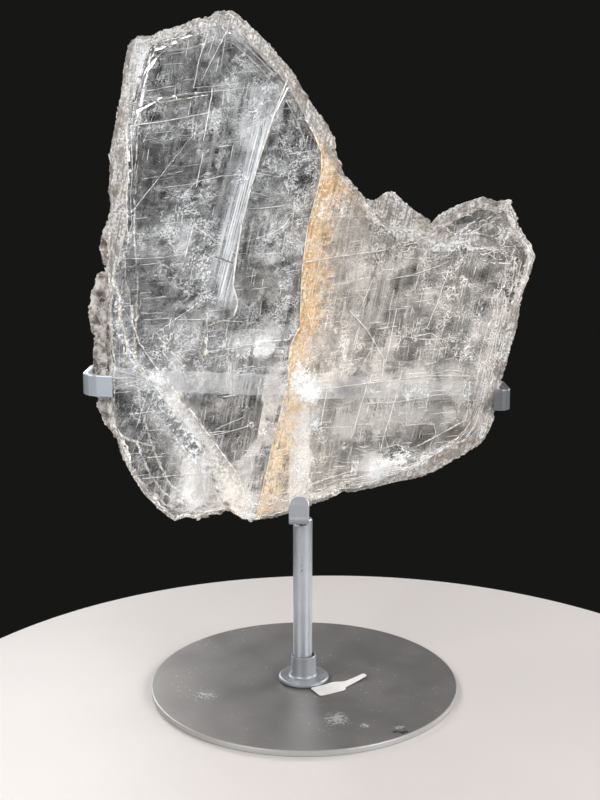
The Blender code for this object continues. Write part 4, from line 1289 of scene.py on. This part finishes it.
def build_stand_paint(settings):
    paint = tuple(settings.paint_colour)
    hook = tuple(settings.hook_colour)
    scuff = (0.74, 0.74, 0.73)
    chip = (0.03, 0.03, 0.03)
    disc_marks = (
        ((0.016, -0.047, 0.003), (0.014, 0.015, 0.01), scuff, 0.39, 620.0),
        ((0.029, -0.054, 0.003), (0.007, 0.006, 0.01), scuff, 0.42, 620.0),
        ((0.046, -0.056, 0.003), (0.009, 0.005, 0.01), scuff, 0.42, 620.0),
        ((0.046, -0.061, 0.003), (0.012, 0.005, 0.01), chip, 0.44, 420.0),
        ((-0.050, -0.020, 0.003), (0.020, 0.016, 0.01), scuff, 0.47, 800.0),
    )
    # Painted highlight: a pale blue-grey spot on the strap's left hook, where light falls on it.
    left_hook_highlight = (((-0.108, -0.014, 0.166), (0.03, 0.02, 0.03), (0.62, 0.69, 0.77), 0.12, 300.0),)
    # The first post mark is painted shade, a near black spot on the rod's front in the gap under the hook's
    # bend; the second is dark specks along the rod.
    post_marks = (
        ((-0.0008, -0.0055, 0.0892), (0.0034, 0.004, 0.0016), chip, 0.30, 300.0),
        ((-0.0015, -0.005, 0.066), (0.003, 0.004, 0.022), (0.10, 0.10, 0.105), 0.50, 900.0),
    )
    finishes = {
        # The disc's last value paints a lighter band along its rim, a painted highlight.
        "base_disc": painted_metal("disc_paint", paint, (60, 900, 300), disc_marks, 0.45, 0.9, 0.0805),
        "socket_flange": painted_metal("socket_paint", hook, (300, 300, 60)),
        "post": painted_metal("post_paint", tuple(settings.rod_colour), (700, 700, 40), post_marks, 0.75),
        # The claw's paint is the hook grey made lighter, a painted highlight, and the strap's is made darker,
        # painted shade of the crystal in front of it.
        "bottom_hook": painted_metal("hook_paint", brighter(hook, 1.4), (600, 600, 60)),
        "cross_strap": painted_metal("strap_paint", brighter(hook, 0.66), (60, 600, 600), left_hook_highlight),
    }
    for node, material in finishes.items():
        frame["nodes"][node].material_slots[0].material = material


def build_tag(settings):
    """Blank paper tag: the flat node's outline, made finer and curled up at both leaves."""
    tag = merged_copy("paper_tag", "blank_tag")
    bpy.ops.object.mode_set(mode="EDIT")
    for count, direction in ((12, (1, 0, 0)), (10, (0, 1, 0))):
        for number in range(1, count):
            bpy.ops.mesh.select_all(action="SELECT")
            bpy.ops.mesh.bisect(plane_co=TAG_LOW.lerp(TAG_HIGH, number / count), plane_no=direction)
    bpy.ops.object.mode_set(mode="OBJECT")
    for point in tag.data.vertices:
        share = (point.co.x - TAG_LOW.x) / (TAG_HIGH.x - TAG_LOW.x)
        lift = settings.tag_curl * (max(0.0, share - 0.55) / 0.45) ** 2
        lift += 0.5 * settings.tag_curl * (max(0.0, 0.35 - share) / 0.35) ** 2
        point.co.z += lift
    edge = tag.modifiers.new("edge", "BEVEL")
    edge.width = 0.06 * MM
    edge.segments = 1
    edge.limit_method = "ANGLE"
    apply_modifier(tag, edge)
    bpy.ops.object.shade_smooth_by_angle(angle=math.radians(30))
    finish_piece(tag, [paper_finish(settings)])
    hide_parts("paper_tag")


# Stage, in metres but for the table's thickness
TABLE_THICK = 12.0
TABLE_X, TABLE_Y = 0.018, -0.056
CAMERA_X = -0.0022
CAMERA_TILT_DEG = 78.96


def build_table(settings):
    deselect_all()
    bpy.ops.mesh.primitive_cylinder_add(
        vertices=256, radius=settings.table_radius, depth=TABLE_THICK * MM,
        location=(TABLE_X, TABLE_Y, -TABLE_THICK / 2 * MM))
    table = named("table_top")
    apply_place()
    edge = table.modifiers.new("edge", "BEVEL")
    edge.width = 3.0 * MM
    edge.segments = 5
    edge.limit_method = "ANGLE"
    apply_modifier(table, edge)
    bpy.ops.object.shade_smooth_by_angle(angle=math.radians(30))
    finish = Finish("table_white")
    mottle = finish.noise(finish.place, 9.0, 4.0)
    colour = tuple(settings.table_colour)
    finish.surface(base_color=finish.mix(mottle, colour, brighter(colour, 0.95)),
                   roughness=0.42, normal=finish.bump(finish.noise(finish.place, 700.0, 2.0), 0.05, 0.0002))
    table.data.materials.append(finish.material)


def add_light(name, place, aim, size, power, colour):
    deselect_all()
    bpy.ops.object.light_add(type="AREA", location=place)
    light = named(name)
    light.rotation_euler = (Vector(aim) - Vector(place)).to_track_quat("-Z", "Y").to_euler()
    light.data.shape = "RECTANGLE"
    light.data.size, light.data.size_y = size
    light.data.energy = power
    light.data.color = colour


def build_stage(settings):
    build_table(settings)
    world = bpy.data.worlds.new("dark_room")
    world.use_nodes = True
    world.node_tree.nodes["Background"].inputs["Color"].default_value = (0.0085, 0.0085, 0.008, 1.0)
    bpy.context.scene.world = world
    scene = bpy.context.scene
    scene.view_settings.view_transform = "Standard"
    scene.cycles.transparent_max_bounces = 24
    scene.cycles.max_bounces = 8
    scene.cycles.diffuse_bounces = 1
    scene.cycles.glossy_bounces = 2
    scene.cycles.transmission_bounces = 6
    aim = (0.0, 0.0, 0.2)
    add_light("key_softbox", (-0.70, -0.80, 0.70), aim, (0.6, 0.6), 9.1, (1.0, 0.985, 0.97))
    add_light("fill_softbox", (0.85, -0.65, 0.55), aim, (0.6, 0.6), 9.2, (1.0, 0.99, 0.98))
    add_light("back_softbox", (-0.50, 0.85, 0.60), aim, (0.6, 0.4), 6.0, (1.0, 0.99, 0.98))
    add_light("side_softbox", (0.95, 0.45, 0.50), aim, (0.4, 0.6), 6.0, (1.0, 0.99, 0.98))
    add_light("top_softbox", (0.0, 0.1, 1.1), (0.0, 0.0, 0.0), (0.8, 0.8), 1.5, (1.0, 1.0, 1.0))
    deselect_all()
    bpy.ops.object.camera_add(location=(CAMERA_X, -settings.camera_distance, settings.camera_height),
                              rotation=(math.radians(CAMERA_TILT_DEG), 0, 0))
    camera = named("camera")
    camera.data.lens = settings.lens
    camera.data.sensor_width = 36.0
    bpy.context.scene.camera = camera


def trimming_solid():
    """Hidden copy of the crystal that sheets are cut by and rays are cast on."""
    solid = bpy.data.objects.get("trimming_solid")
    if solid is None:
        solid = merged_copy("selenite", "trimming_solid")
        solid.hide_render = True
    return solid


class SELENITE_OT_crystal(bpy.types.Operator):
    """Make the clear crystal with its frosted, broken edge"""

    bl_idname = "selenite.crystal"
    bl_label = "Crystal"

    def execute(self, context):
        build_crystal(context.scene.selenite_settings)
        return {"FINISHED"}


class SELENITE_OT_veils(bpy.types.Operator):
    """Make the milky veils inside the crystal"""

    bl_idname = "selenite.veils"
    bl_label = "Veils"

    def execute(self, context):
        build_veils(context.scene.selenite_settings, trimming_solid())
        return {"FINISHED"}


class SELENITE_OT_seam(bpy.types.Operator):
    """Make the iron stained seam and the silvery band beside the step"""

    bl_idname = "selenite.seam"
    bl_label = "Seam and Band"

    def execute(self, context):
        build_seam(context.scene.selenite_settings, trimming_solid())
        build_satin_band(trimming_solid())
        return {"FINISHED"}


class SELENITE_OT_cracks(bpy.types.Operator):
    """Make the bright cracks and cleavage traces"""

    bl_idname = "selenite.cracks"
    bl_label = "Cracks"

    def execute(self, context):
        build_cracks(context.scene.selenite_settings, trimming_solid())
        return {"FINISHED"}


class SELENITE_OT_frost(bpy.types.Operator):
    """Scatter frost grains over the ridge, the rind and the broken edge"""

    bl_idname = "selenite.frost"
    bl_label = "Frost"

    def execute(self, context):
        crystal = bpy.data.objects["selenite_crystal"]
        build_frost(context.scene.selenite_settings, crystal, trimming_solid())
        return {"FINISHED"}


class SELENITE_OT_stand(bpy.types.Operator):
    """Paint the disc, socket, post, hook and strap"""

    bl_idname = "selenite.stand"
    bl_label = "Stand Paint"

    def execute(self, context):
        build_stand_paint(context.scene.stand_settings)
        return {"FINISHED"}


class SELENITE_OT_tag(bpy.types.Operator):
    """Make the blank paper tag"""

    bl_idname = "selenite.tag"
    bl_label = "Blank Tag"

    def execute(self, context):
        build_tag(context.scene.stand_settings)
        return {"FINISHED"}


class SELENITE_OT_stage(bpy.types.Operator):
    """Set up the table, the lights and the camera"""

    bl_idname = "selenite.stage"
    bl_label = "Stage"

    def execute(self, context):
        build_stage(context.scene.stage_settings)
        return {"FINISHED"}


class SELENITE_PT_panel(bpy.types.Panel):
    """Lists the pieces in the sidebar."""

    bl_label = "Selenite on a Stand"
    bl_idname = "SELENITE_PT_panel"
    bl_space_type = "VIEW_3D"
    bl_region_type = "UI"
    bl_category = "Selenite"

    def draw(self, context):
        for settings in (context.scene.selenite_settings, context.scene.stand_settings,
                         context.scene.stage_settings):
            box = self.layout.box()
            for name in settings.__annotations__:
                box.prop(settings, name)
        for operator in OPERATORS:
            self.layout.operator(operator.bl_idname)


OPERATORS = (
    SELENITE_OT_crystal, SELENITE_OT_veils, SELENITE_OT_seam, SELENITE_OT_cracks, SELENITE_OT_frost,
    SELENITE_OT_stand, SELENITE_OT_tag, SELENITE_OT_stage,
)
SETTINGS = {
    "selenite_settings": SeleniteSettings, "stand_settings": StandSettings, "stage_settings": StageSettings,
}


def register():
    for made in (*SETTINGS.values(), *OPERATORS, SELENITE_PT_panel):
        bpy.utils.register_class(made)
    for name, group in SETTINGS.items():
        setattr(bpy.types.Scene, name, bpy.props.PointerProperty(type=group))


def unregister():
    for name in SETTINGS:
        delattr(bpy.types.Scene, name)
    for made in reversed((*SETTINGS.values(), *OPERATORS, SELENITE_PT_panel)):
        bpy.utils.unregister_class(made)


def main():
    register()
    bpy.ops.selenite.crystal()
    bpy.ops.selenite.veils()
    bpy.ops.selenite.seam()
    bpy.ops.selenite.cracks()
    bpy.ops.selenite.frost()
    bpy.ops.selenite.stand()
    bpy.ops.selenite.tag()
    bpy.ops.selenite.stage()
    bpy.data.objects.remove(trimming_solid(), do_unlink=True)


if __name__ == "__main__":
    main()
